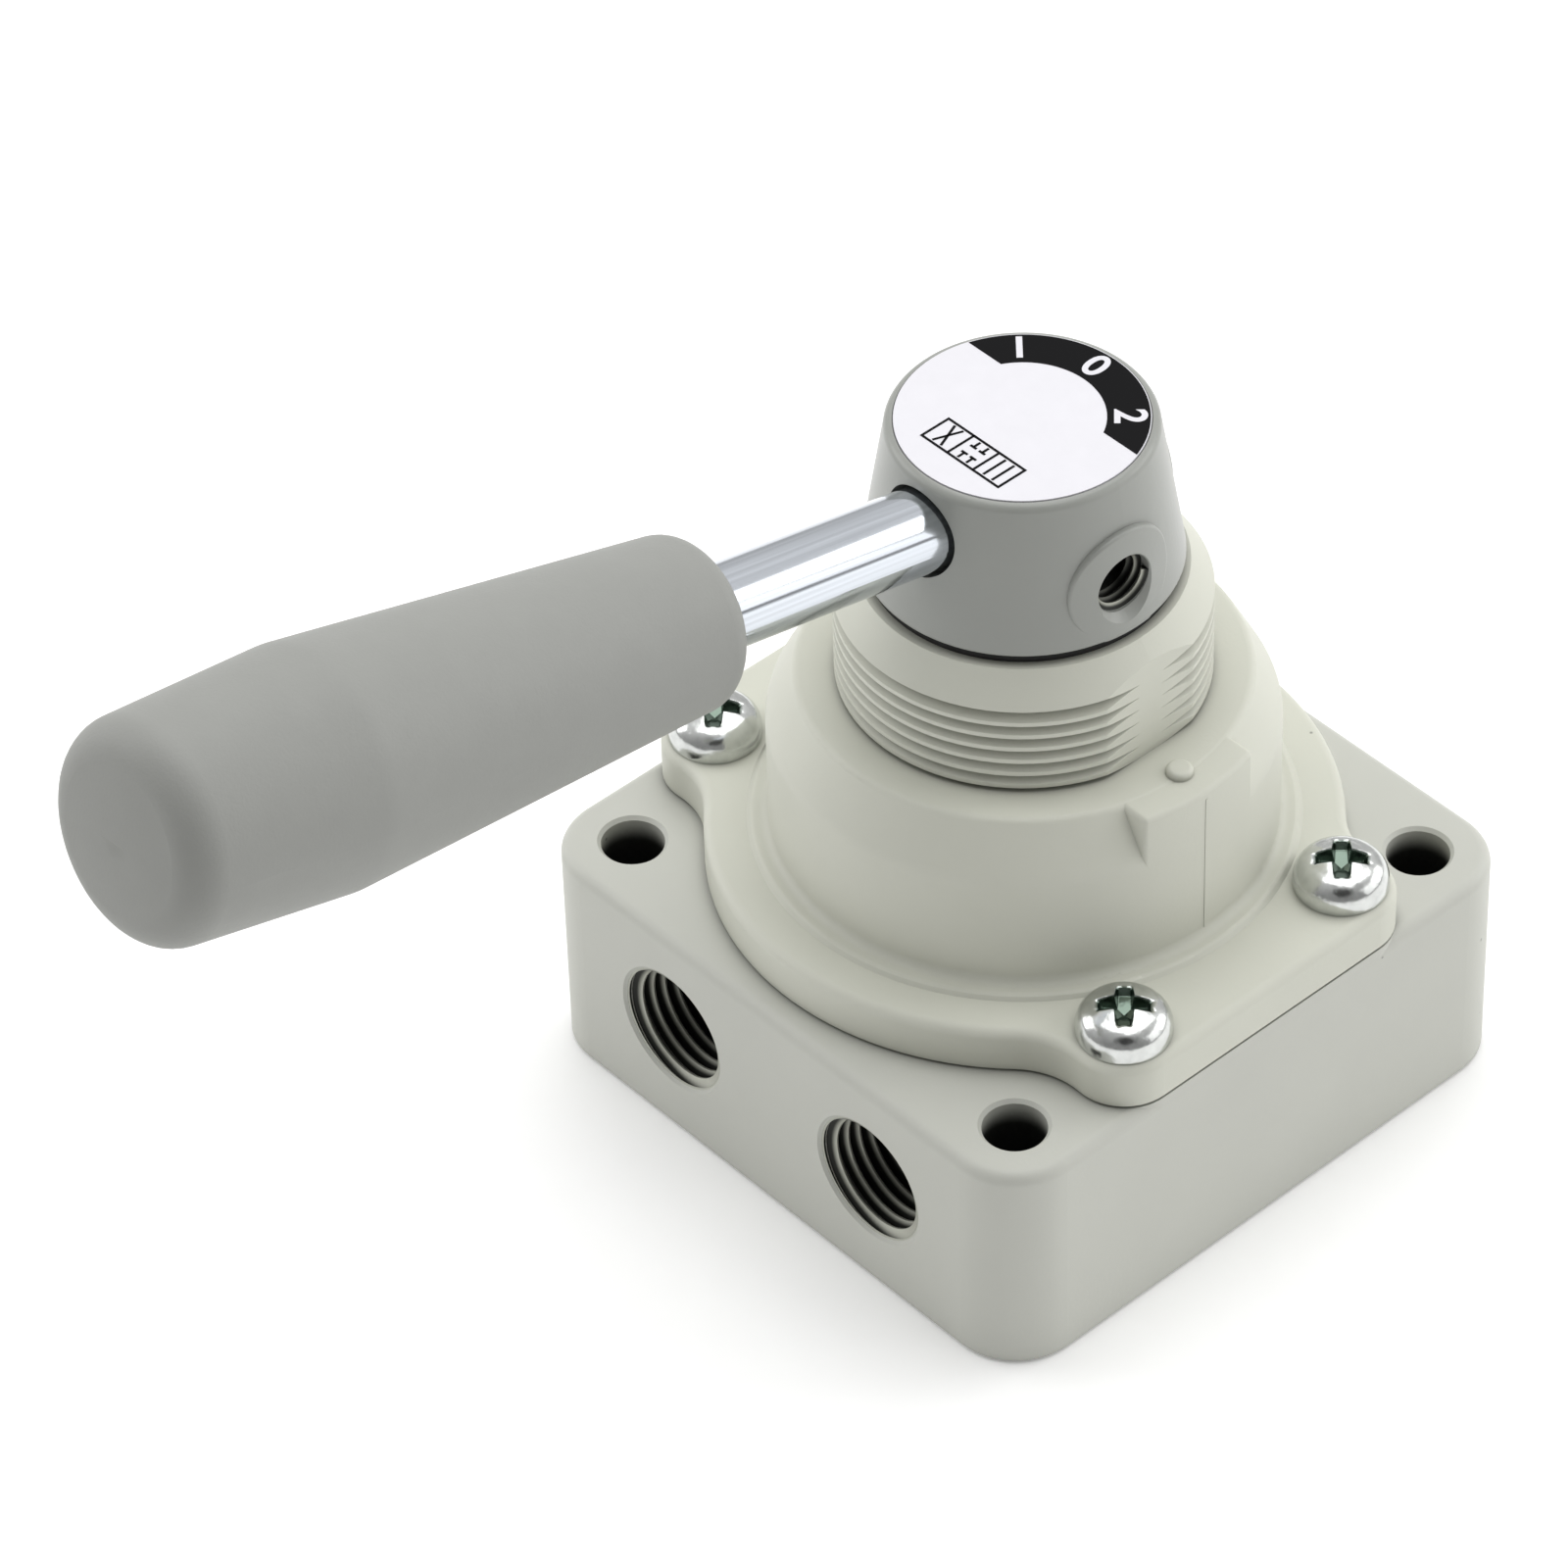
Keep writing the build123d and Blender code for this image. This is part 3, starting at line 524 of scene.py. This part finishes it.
def specked(tree, colour_output, settings):
    """The colour with a few small specks: one in some of the cells that divide space."""
    strength = 0.6
    edge = 1.6
    coordinates = add(tree, "ShaderNodeTexCoord").outputs["Object"]
    scale = {"Scale": 1 / settings.speck_spacing}
    cells = add(tree, "ShaderNodeTexVoronoi", scale, {"Vector": coordinates})
    radius = settings.speck_size / settings.speck_spacing
    near = {"From Min": radius, "From Max": edge * radius, "To Min": strength, "To Max": 0.0}
    speck = add(tree, "ShaderNodeMapRange", near, {"Value": cells.outputs["Distance"]}).outputs["Result"]
    chance = add(tree, "ShaderNodeSeparateXYZ", links={"Vector": cells.outputs["Color"]}).outputs["X"]
    limit = {"operation": "GREATER_THAN", 1: 1 - settings.speck_share}
    chosen = add(tree, "ShaderNodeMath", limit, {0: chance}).outputs[0]
    share = add(tree, "ShaderNodeMath", {"operation": "MULTIPLY"}, {0: speck, 1: chosen}).outputs[0]
    return blended(tree, share, colour_output, settings.speck)


def painted_casting(name, base, settings, roughness):
    """Die-cast aluminium under matt or satin paint: a broad soft gloss over a faint orange peel, with
    painted shade in the creases and a few specks of dust."""
    gloss = {"Roughness": roughness, "IOR": 1.5, "Specular IOR Level": 0.45}
    material = finish_material(
        name, base, gloss, settings.grain, height=0.012 * MM, cloud_spacing=14 * MM, cloud_amount=0.045
    )
    tree = material.node_tree
    socket = tree.nodes["Principled BSDF"].inputs["Base Color"]
    dusty = specked(tree, socket.links[0].from_socket, settings)
    tree.links.new(creased(tree, dusty, settings.crease_width, settings.crease_shade), socket)
    return material


def cut_thread(name, metal, root):
    """Cut bare aluminium: bright on the crests, with painted shade down in the grooves."""
    material, tree, coordinates = fresh_material(name, {"Metallic": 0.6, "Roughness": 0.45})
    ridge = add(tree, "ShaderNodeAttribute", {"attribute_name": "ridge"}).outputs["Fac"]
    stops = {"interpolation_type": "SMOOTHSTEP", "From Min": 0.4, "From Max": 0.95}
    share = add(tree, "ShaderNodeMapRange", stops, {"Value": ridge}).outputs["Result"]
    bright = clouded(tree, coordinates, metal, spacing=2 * MM, amount=0.06)
    marks = grained(tree, coordinates, spacing=0.2 * MM, height=0.004 * MM)
    return wired(material, blended(tree, share, root, bright), marks)


def drawn_chrome(name, settings):
    """Chrome plate over a drawn bar: mirror-like, with faint straight draw lines along the bar. Real
    ones are too fine to show, so these are wider. The rod lies in the plane X = 0 and rises to -Y."""
    material, tree, coordinates = fresh_material(name, {"Metallic": 1.0, "Roughness": 0.1})
    low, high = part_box("lever_rod")
    tilt = math.atan2(high[2] - low[2] - settings.rod_diameter, high[1] - low[1])
    stretch = 200
    turned_back = {"vector_type": "TEXTURE", "Rotation": (-tilt, 0, 0), "Scale": (1, stretch, 1)}
    along = add(tree, "ShaderNodeMapping", turned_back, {"Vector": coordinates}).outputs["Vector"]
    noise = {"Scale": 1 / settings.draw_lines, "Detail": 2.0}
    lines = add(tree, "ShaderNodeTexNoise", noise, {"Vector": along}).outputs["Fac"]
    bump = {"Strength": 1.0, "Distance": 0.002 * MM}
    normal = add(tree, "ShaderNodeBump", bump, {"Height": lines}).outputs["Normal"]
    tone = {"From Min": 0.35, "From Max": 0.65, "To Min": 0.84, "To Max": 1.0}
    share = add(tree, "ShaderNodeMapRange", tone, {"Value": lines}).outputs["Result"]
    return wired(material, blended(tree, share, BLACK, settings.chrome), normal)


def print_ink(name, base):
    """Screen print: even, matt and thin, with hardly any gloss."""
    settings = {"Roughness": 0.7, "IOR": 1.5, "Specular IOR Level": 0.12}
    return finish_material(name, base, settings, grain=0.3 * MM, height=0.003 * MM)


def moulded_plastic(name, base, grain):
    """Plastic from a mould with a fine matt grain: no clear reflections, only a soft sheen. The real
    grain is too fine to show, so it is drawn coarser."""
    settings = {"Roughness": 0.6, "IOR": 1.5, "Specular IOR Level": 0.4}
    return finish_material(
        name, base, settings, grain, height=0.025 * MM, cloud_spacing=4 * MM, cloud_amount=0.035
    )


def bright_metal(name, base, roughness, grain):
    """Bare or blackened metal: mirror-like when smooth, with a faint uneven polish."""
    settings = {"Metallic": 1.0, "Roughness": roughness}
    return finish_material(name, base, settings, grain, height=0.002 * MM, cloud_spacing=3 * MM)


def smooth_solid(name, base, roughness, grain):
    """Plastic, rubber, film or board: one even colour with a very fine surface."""
    settings = {"Roughness": roughness, "IOR": 1.5}
    return finish_material(name, base, settings, grain, height=0.003 * MM)


def zinc_screw(name, plating, painted_recess_shade):
    """Bright zinc plating, with painted shade, darker and greenish, down in the recess."""
    material, tree, coordinates = fresh_material(name, {"Metallic": 1.0, "Roughness": 0.2})
    recess = add(tree, "ShaderNodeAttribute", {"attribute_name": "recess"}).outputs["Fac"]
    plating_outside_recess = clouded(tree, coordinates, plating, spacing=1.1 * MM, amount=0.22)
    dents = grained(tree, coordinates, spacing=1.2 * MM, height=0.05 * MM)
    return wired(material, blended(tree, recess, plating_outside_recess, painted_recess_shade), dents)


def dress(material, *nodes):
    """Gives CAD nodes one material."""
    for node in nodes:
        for slot in frame["nodes"][node].material_slots:
            slot.material = material


# Operators

class VALVE_OT_castings(bpy.types.Operator):
    """Paint the block, the cover and the head"""
    bl_idname = "valve.castings"
    bl_label = "Paint Castings"

    def execute(self, context):
        settings = context.scene.valve_castings
        matt = 0.5
        satin = 0.3
        body = painted_casting("Matt_painted_die_cast_block", settings.body_paint, settings, matt)
        dress(body_shaded(body, settings, first=0.3 * MM, last=3 * MM), "body")
        cover = painted_casting("Matt_painted_die_cast_cover", settings.cover_paint, settings, matt)
        dress(cover, "cover")
        head = painted_casting("Satin_painted_die_cast_head", settings.head_paint, settings, satin)
        dress(head_shaded(head, settings, first=0.8 * MM, last=3.2 * MM), "head")
        self.seam(settings, cover)
        return {"FINISHED"}

    def seam(self, settings, paint):
        """The parting line down the cover's wall on the +X side, from the base ring to the ledge."""
        line = bar((0, settings.seam_base), (0, settings.seam_top), settings.seam_width, 0)
        rib = placed(slab(line, settings.seam_height), (settings.seam_place, 0, 0), (1, 0, 0))
        seam = surface("cover_seam", [rib], paint)
        fit_out(seam, "valve_body", "cast_silver")


class VALVE_OT_threads(bpy.types.Operator):
    """Make the threads of the four ports and of the two set screw holes"""
    bl_idname = "valve.threads"
    bl_label = "Threads"

    def execute(self, context):
        settings = context.scene.valve_threads
        castings = context.scene.valve_castings
        cut = cut_thread("Machined_bare_aluminium_port", settings.metal, settings.root)
        # Painted shade down the ports, over the thread as well.
        body_shaded(cut, castings, first=3 * MM, last=10 * MM)
        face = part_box("body")[1][1]
        for mount in frame["record"]["mounts"]:
            if mount["kind"] != "threaded_hole":
                continue
            grid = inner_thread(
                mount["dims"]["r_mm"] * MM,
                settings.port_height,
                settings.port_pitch,
                -settings.lead,
                mount["dims"]["length_mm"] * MM,
                settings.steps,
                settings.chamfer,
            )
            mouth = (mount["pos_m"][0], math.copysign(face, mount["axis"][1]), mount["pos_m"][2])
            thread = surface("thread_" + mount["name"], [placed(grid, mouth, mount["axis"])], cut)
            self.mark_ridge(
                thread.data, mouth, mount["axis"], settings.port_height, settings.chamfer, settings.fade
            )
            fit_out(thread, "valve_body", "cast_silver")
        low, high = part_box("head_set_screws")
        depth = settings.set_screw_mouth - high[0]
        height = high[2] - settings.set_screw_radius
        grid = inner_thread(
            settings.set_screw_radius,
            settings.set_screw_height,
            settings.set_screw_pitch,
            settings.set_screw_start,
            depth,
            settings.steps,
        )
        tapped = cut_thread("Machined_bare_aluminium_head", settings.metal, settings.root)
        # Painted shade down the set screw holes, over the thread as well.
        head_shaded(tapped, castings, first=0.8 * MM, last=3.2 * MM)
        for name, quarter in (("thread_set_screw_side", 0), ("thread_set_screw_back", math.pi / 2)):
            angle = quarter + settings.set_screw_turn
            axis = np.array([math.cos(angle), math.sin(angle), 0])
            mouth = axis * settings.set_screw_mouth + np.array([0, 0, height])
            thread = surface(name, [placed(grid, mouth, axis)], tapped)
            # The rim without painted groove shade ends outside the mouth, because this thread starts below
            # it.
            self.mark_ridge(
                thread.data, mouth, axis, settings.set_screw_height, -settings.fade, settings.fade
            )
            fit_out(thread, "lever_assembly", "cast_grey")
        return {"FINISHED"}

    def mark_ridge(self, mesh, mouth, axis, height, rim, fade):
        """The attribute ridge is the share of the thread's height by which a point stands above the groove,
        from its distance to the hole's axis, which is of unit length. It is 1 down to the rim's depth, where
        the thread runs out, and falls from there to that share over the fade. Where it is low, the material
        paints shade into the groove."""
        offset = vertices(mesh) - np.array(mouth)
        reach = np.linalg.norm(np.cross(offset, axis), axis=1)
        ridge = np.clip((reach.max() - reach) / height, 0, 1)
        below_rim = -(offset @ np.array(axis)) - rim
        ridge = np.maximum(ridge, 1 - np.clip(below_rim / fade, 0, 1))
        mesh.attributes.new("ridge", "FLOAT", "POINT").data.foreach_set("value", ridge)


class VALVE_OT_cover_screws(bpy.types.Operator):
    """Make the four pan head screws of the cover"""
    bl_idname = "valve.cover_screws"
    bl_label = "Cover Screws"

    def execute(self, context):
        settings = context.scene.valve_screws
        head = settings.head_diameter / 2
        shank = settings.shank_diameter / 2
        point = settings.shank_point
        # The crown's rings stop a little short of the rounded shoulder.
        rings = 46
        crown_reach = 0.93
        shoulder = 0.8 * settings.head_round
        crown = np.linspace(0, crown_reach, rings)[:-1] * (head - shoulder)
        top = np.stack([crown, np.full_like(crown, settings.head_height)], axis=1)
        corner = settings.head_height - settings.head_dome
        sides = soften([
            (0, settings.head_height, 0),
            (head, corner, settings.head_round),
            (head, 0, settings.head_foot),
            (shank, 0, 0),
            (shank, point - settings.shank_length, 0),
            (shank - point, -settings.shank_length, 0),
            (0, -settings.shank_length, 0),
        ])[1:]
        # The crown is a parabola from the middle to where the rounded shoulder starts.
        slope = (sides[0, 1] - settings.head_height) / sides[0, 0] ** 2
        top[:, 1] += slope * top[:, 0] ** 2
        grid = turned(np.concatenate([top, sides]), columns=160)
        sunk = cross_recess(
            grid[..., 0], grid[..., 1], settings.recess_span, settings.recess_width, settings.recess_depth
        )
        sunk[len(crown):] = 0
        grid[..., 2] -= sunk
        low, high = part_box("cover_screws")
        seat = high[2] - settings.head_height
        zinc = zinc_screw("Bright_zinc_plated_steel", settings.plating, settings.painted_recess_shade)
        places = [
            (side_x * (high[0] - head), side_y * (high[1] - head), seat)
            for side_x in (-1, 1)
            for side_y in (-1, 1)
        ]
        screws = surface("pan_head_screws", [grid + np.array(place) for place in places], zinc, sharp=50)
        self.mark_recess(screws.data, settings, places)
        fit_out(screws, "valve_body", "zinc_steel", "cover_screws")
        return {"FINISHED"}

    def mark_recess(self, mesh, settings, places):
        """The attribute recess grows from 0 to 1 over the recess's rim below a head's crown, and is 0
        outside the cross recess and under the heads."""
        points = vertices(mesh)
        offsets = points[:, None, :2] - np.array(places)[None, :, :2]
        nearest = np.linalg.norm(offsets, axis=2).argmin(axis=1)
        x, y = offsets[np.arange(len(points)), nearest].T
        sunk = cross_recess(x, y, settings.recess_span, settings.recess_width, settings.recess_depth)
        share = np.clip(sunk / settings.recess_rim, 0, 1)
        recess = np.where(points[:, 2] > places[0][2], share, 0)
        mesh.attributes.new("recess", "FLOAT", "POINT").data.foreach_set("value", recess)


class VALVE_OT_lever(bpy.types.Operator):
    """Plate the rod and give the grip its moulded plastic"""
    bl_idname = "valve.lever"
    bl_label = "Lever"

    def execute(self, context):
        settings = context.scene.valve_grip
        dress(drawn_chrome("Polished_chrome_plate", settings), "lever_rod")
        dress(moulded_plastic("Matt_moulded_nylon", settings.plastic, settings.grain), "grip")
        return {"FINISHED"}


class VALVE_OT_label(bpy.types.Operator):
    """Print the label: a dark band with three figures, and a plain valve symbol"""
    bl_idname = "valve.label"
    bl_label = "Label"

    def execute(self, context):
        settings = context.scene.valve_label
        # Coated film is white and smooth, with a clear soft gloss.
        film = smooth_solid("Coated_label_film", settings.face, roughness=0.3, grain=0.5 * MM)
        dress(film, "label_plate")
        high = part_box("label_plate")[1]
        radius = high[0] - settings.rim
        level = high[2]
        thickness = settings.print_height
        ink = print_ink("Screen_print_ink", settings.ink)
        band = surface("label_band", [slab(self.band(settings, radius, level), thickness)], ink)
        fit_out(band, "lever_assembly", "label")
        lines = [slab(line, thickness) for line in self.symbol(settings, level)]
        symbol = surface("label_symbol", lines, ink)
        fit_out(symbol, "lever_assembly", "label")
        white = print_ink("Screen_print_white", settings.face)
        reach = radius * (1 + settings.band_inner) / 2
        for text, degrees in FIGURE_BEARINGS.items():
            angle = math.radians(degrees)
            middle = (reach * math.cos(angle), reach * math.sin(angle), level + thickness)
            turn = Matrix.Rotation(angle - math.pi / 2, 4, "Z")
            figure = self.figure(text, settings, Matrix.Translation(middle) @ turn, white)
            fit_out(figure, "lever_assembly", "label")
        return {"FINISHED"}

    def band(self, settings, radius, level):
        """Rows are circles of radius r from the inner edge to the label's edge, and columns go along
        each from one end of the chord to the other: a = b + u (pi - 2 b), where sin b = chord / r."""
        rows = 6
        columns = 97
        r = radius * np.linspace(settings.band_inner, 1, rows)[:, None]
        begin = np.arcsin(settings.band_chord * radius / r)
        angle = begin + np.linspace(0, 1, columns) * (math.pi - 2 * begin)
        return np.stack([r * np.cos(angle), r * np.sin(angle), np.full_like(angle, level)], axis=-1)

    def symbol(self, settings, level):
        """Three squares in a row with straight flow lines, as a plain sign for a valve with three
        positions: crossed lines, blocked ends and parallel lines."""
        cell = settings.symbol_cell
        width = settings.line_width
        low = settings.symbol_y - cell / 2
        high = settings.symbol_y + cell / 2
        ends = [settings.symbol_x + step * cell for step in (-1.5, -0.5, 0.5, 1.5)]
        lines = [bar((x, low - width / 2), (x, high + width / 2), width, level) for x in ends]
        for left, right in zip(ends, ends[1:]):
            for y in (low, high):
                lines.append(bar((left + width / 2, y), (right - width / 2, y), width, level))
        third = cell / 3
        inset = width
        stop = 1.5 * width
        left_cell, middle_cell, right_cell = ends[:3]
        for x in (middle_cell + third, middle_cell + 2 * third):
            lines.append(bar((x, low + inset), (x, low + third), width, level))
            lines.append(bar((x, high - inset), (x, high - third), width, level))
            lines.append(bar((x - stop, low + third), (x + stop, low + third), width, level))
            lines.append(bar((x - stop, high - third), (x + stop, high - third), width, level))
        for x in (right_cell + third, right_cell + 2 * third):
            lines.append(bar((x, low + inset), (x, high - inset), width, level))
        near = left_cell + third
        far = left_cell + 2 * third
        lines.append(bar((near, low + inset), (far, high - inset), width, level))
        lines.append(bar((far, low + inset), (near, high - inset), width, level))
        return lines

    def figure(self, text, settings, place, material):
        """One figure as a flat mesh, centred on its place."""
        # The height of a figure, as a share of the font's size
        height_by_size = 0.7
        curve = bpy.data.curves.new("label_figure_" + text, "FONT")
        curve.body = text
        curve.size = settings.figure_height / height_by_size
        curve.offset = settings.figure_weight
        curve.extrude = settings.print_height / 2
        curve.align_x = "CENTER"
        curve.align_y = "CENTER"
        source = new_object("label_figure_source_" + text, curve)
        evaluated = source.evaluated_get(bpy.context.evaluated_depsgraph_get())
        mesh = bpy.data.meshes.new_from_object(evaluated)
        bpy.data.objects.remove(source)
        mesh.transform(place)
        mesh.materials.clear()
        mesh.materials.append(material)
        return new_object("label_figure_" + text, mesh)


class VALVE_OT_inner_pieces(bpy.types.Operator):
    """Finish the pieces inside the valve"""
    bl_idname = "valve.inner_pieces"
    bl_label = "Inner Pieces"

    def execute(self, context):
        settings = context.scene.valve_inner
        # Ground stainless steel: bright, its reflections blurred by fine grinding marks
        ground = bright_metal("Ground_stainless_steel", settings.steel, roughness=0.25, grain=0.15 * MM)
        dress(ground, "spindle", "drive_pins", "plate_pins", "stop_pin", "detent_ball", "valve_plate")
        # Drawn spring wire: duller, with a soft grey shine
        drawn = bright_metal("Drawn_spring_steel", settings.steel, roughness=0.4, grain=0.1 * MM)
        dress(drawn, "rotor_spring", "detent_spring")
        # Steel with black oxide: dark, with a dull oily shine
        oxide = bright_metal("Black_oxide_steel", settings.dark_steel, roughness=0.45, grain=0.1 * MM)
        dress(oxide, "head_set_screws")
        # Sintered bronze: warm and nearly matt with its fine pores
        bronze = bright_metal("Sintered_bronze", settings.bronze, roughness=0.5, grain=0.1 * MM)
        dress(bronze, "spindle_bush")
        # Machined acetal: an even milky white with a waxy gloss
        acetal = smooth_solid("Machined_acetal", settings.acetal, roughness=0.45, grain=0.1 * MM)
        dress(acetal, "valve_rotor", "thrust_washer")
        # Moulded nitrile rubber: black and matt
        rubber = smooth_solid("Nitrile_rubber", settings.rubber, roughness=0.6, grain=0.2 * MM)
        dress(rubber, "seat_seals", "cover_o_ring", "spindle_o_rings", "dust_wiper")
        return {"FINISHED"}


class VALVE_OT_studio(bpy.types.Operator):
    """Set up the floor, the lights and the camera"""
    bl_idname = "valve.studio"
    bl_label = "Studio"

    def execute(self, context):
        settings = context.scene.valve_studio
        self.floor(settings)
        self.room(context.scene, settings)
        self.light("key", settings.key_power, size=0.9, place=(-0.1, 0.2, 0.95))
        self.light("back", settings.back_power, size=0.6, place=(0.42, 0.92, 0.46))
        self.light("right", settings.right_power, size=0.6, place=(0.85, 0.5, 0.42))
        self.light("left", settings.left_power, size=0.6, place=(-0.85, -0.45, 0.5))
        self.camera(context.scene, settings)
        context.scene.view_settings.view_transform = "Standard"
        return {"FINISHED"}

    def floor(self, settings):
        """A square board of matt white plastic, 4 m wide, that lets a little light through."""
        material = smooth_solid("Matt_floor_board", settings.floor_colour, roughness=0.8, grain=2 * MM)
        shader = material.node_tree.nodes["Principled BSDF"]
        shader.inputs["Emission Color"].default_value = settings.floor_colour
        shader.inputs["Emission Strength"].default_value = settings.floor_glow
        reach = 2.0
        thickness = 0.01
        base = bar((-reach, 0), (reach, 0), 2 * reach, -thickness)
        floor = surface("floor", [slab(base, thickness)], material)

    def room(self, scene, settings):
        """A white room, brightest overhead and on its far side and dim behind the camera, with the
        dark of the camera and its stand, all of which the bright metal mirrors."""
        world = bpy.data.worlds.new("studio_room")
        scene.world = world
        world.use_nodes = True
        tree = world.node_tree
        direction = add(tree, "ShaderNodeTexCoord").outputs["Generated"]
        height = add(tree, "ShaderNodeSeparateXYZ", links={"Vector": direction}).outputs["Z"]
        stops = {"From Min": -0.2, "From Max": 0.9, "To Min": 0.6, "To Max": 1.3}
        level = add(tree, "ShaderNodeMapRange", stops, {"Value": height}).outputs["Result"]
        bearing = (math.sin(settings.azimuth), -math.cos(settings.azimuth))
        flat = math.cos(settings.elevation)
        lens = (bearing[0] * flat, bearing[1] * flat, math.sin(settings.elevation))
        # Each line: a direction, where along it the light changes, and its levels before and after
        for toward, first, last, before, after in (
            ((*bearing, 0), -0.8, 0.9, settings.back_level, settings.front_level),
            (lens, 0.9, 0.985, 1.0, settings.camera_level),
        ):
            product = {"operation": "DOT_PRODUCT", 1: toward}
            share = add(tree, "ShaderNodeVectorMath", product, {0: direction}).outputs["Value"]
            stops = {"interpolation_type": "SMOOTHSTEP", "From Min": first, "From Max": last}
            stops |= {"To Min": before, "To Max": after}
            dimming = add(tree, "ShaderNodeMapRange", stops, {"Value": share}).outputs["Result"]
            product = {"operation": "MULTIPLY"}
            level = add(tree, "ShaderNodeMath", product, {0: level, 1: dimming}).outputs[0]
        background = tree.nodes["Background"]
        background.inputs["Strength"].default_value = settings.room_level
        tree.links.new(level, background.inputs["Color"])

    def light(self, name, power, size, place):
        """A square soft light that looks at the valve."""
        data = bpy.data.lights.new(name, "AREA")
        data.energy = power
        data.size = size
        lamp = new_object(name, data)
        lamp.location = place
        aim = Vector(VALVE_MIDDLE) - lamp.location
        lamp.rotation_euler = aim.to_track_quat("-Z", "Y").to_euler()

    def camera(self, scene, settings):
        """Looks from its bearing and height at its target; then it is rolled about its own axis."""
        flat = math.cos(settings.elevation)
        back = Vector((
            math.sin(settings.azimuth) * flat,
            -math.cos(settings.azimuth) * flat,
            math.sin(settings.elevation),
        ))
        side = Vector((0, 0, 1)).cross(back).normalized()
        turn = Matrix.Rotation(settings.roll, 4, back)
        side = turn @ side
        target = Vector((settings.target_x, settings.target_y, settings.target_z))
        data = bpy.data.cameras.new("camera")
        data.lens = settings.lens
        data.sensor_width = settings.sensor
        data.shift_x = settings.shift_x
        data.shift_y = settings.shift_y
        data.clip_start = 0.01
        camera = new_object("camera", data)
        axes = Matrix((side, back.cross(side), back)).transposed().to_4x4()
        camera.matrix_world = Matrix.Translation(target + back * settings.distance) @ axes
        scene.camera = camera


OPERATORS = (
    VALVE_OT_castings,
    VALVE_OT_threads,
    VALVE_OT_cover_screws,
    VALVE_OT_lever,
    VALVE_OT_label,
    VALVE_OT_inner_pieces,
    VALVE_OT_studio,
)
SETTINGS = {
    "valve_castings": CastingSettings,
    "valve_threads": ThreadSettings,
    "valve_screws": ScrewSettings,
    "valve_grip": GripSettings,
    "valve_label": LabelSettings,
    "valve_inner": InnerSettings,
    "valve_studio": StudioSettings,
}


class VALVE_PT_panel(bpy.types.Panel):
    """Lists the valve's settings and steps"""
    bl_idname = "VALVE_PT_panel"
    bl_label = "Hand Lever Air Valve"
    bl_space_type = "VIEW_3D"
    bl_region_type = "UI"
    bl_category = "Valve"

    def draw(self, context):
        for operator, name in zip(OPERATORS, SETTINGS):
            box = self.layout.box()
            for setting in SETTINGS[name].__annotations__:
                box.prop(getattr(context.scene, name), setting)
            box.operator(operator.bl_idname)


def register():
    """Adds the settings to the scene, and the steps and the panel to Blender."""
    for name, group in SETTINGS.items():
        bpy.utils.register_class(group)
        setattr(bpy.types.Scene, name, PointerProperty(type=group))
    for operator in OPERATORS:
        bpy.utils.register_class(operator)
    bpy.utils.register_class(VALVE_PT_panel)


def unregister():
    """Takes away what register adds, in reverse order."""
    bpy.utils.unregister_class(VALVE_PT_panel)
    for operator in reversed(OPERATORS):
        bpy.utils.unregister_class(operator)
    for name, group in reversed(SETTINGS.items()):
        delattr(bpy.types.Scene, name)
        bpy.utils.unregister_class(group)


def main():
    register()
    bpy.ops.valve.castings()
    bpy.ops.valve.threads()
    bpy.ops.valve.cover_screws()
    bpy.ops.valve.lever()
    bpy.ops.valve.label()
    bpy.ops.valve.inner_pieces()
    bpy.ops.valve.studio()


if __name__ == "__main__":
    main()
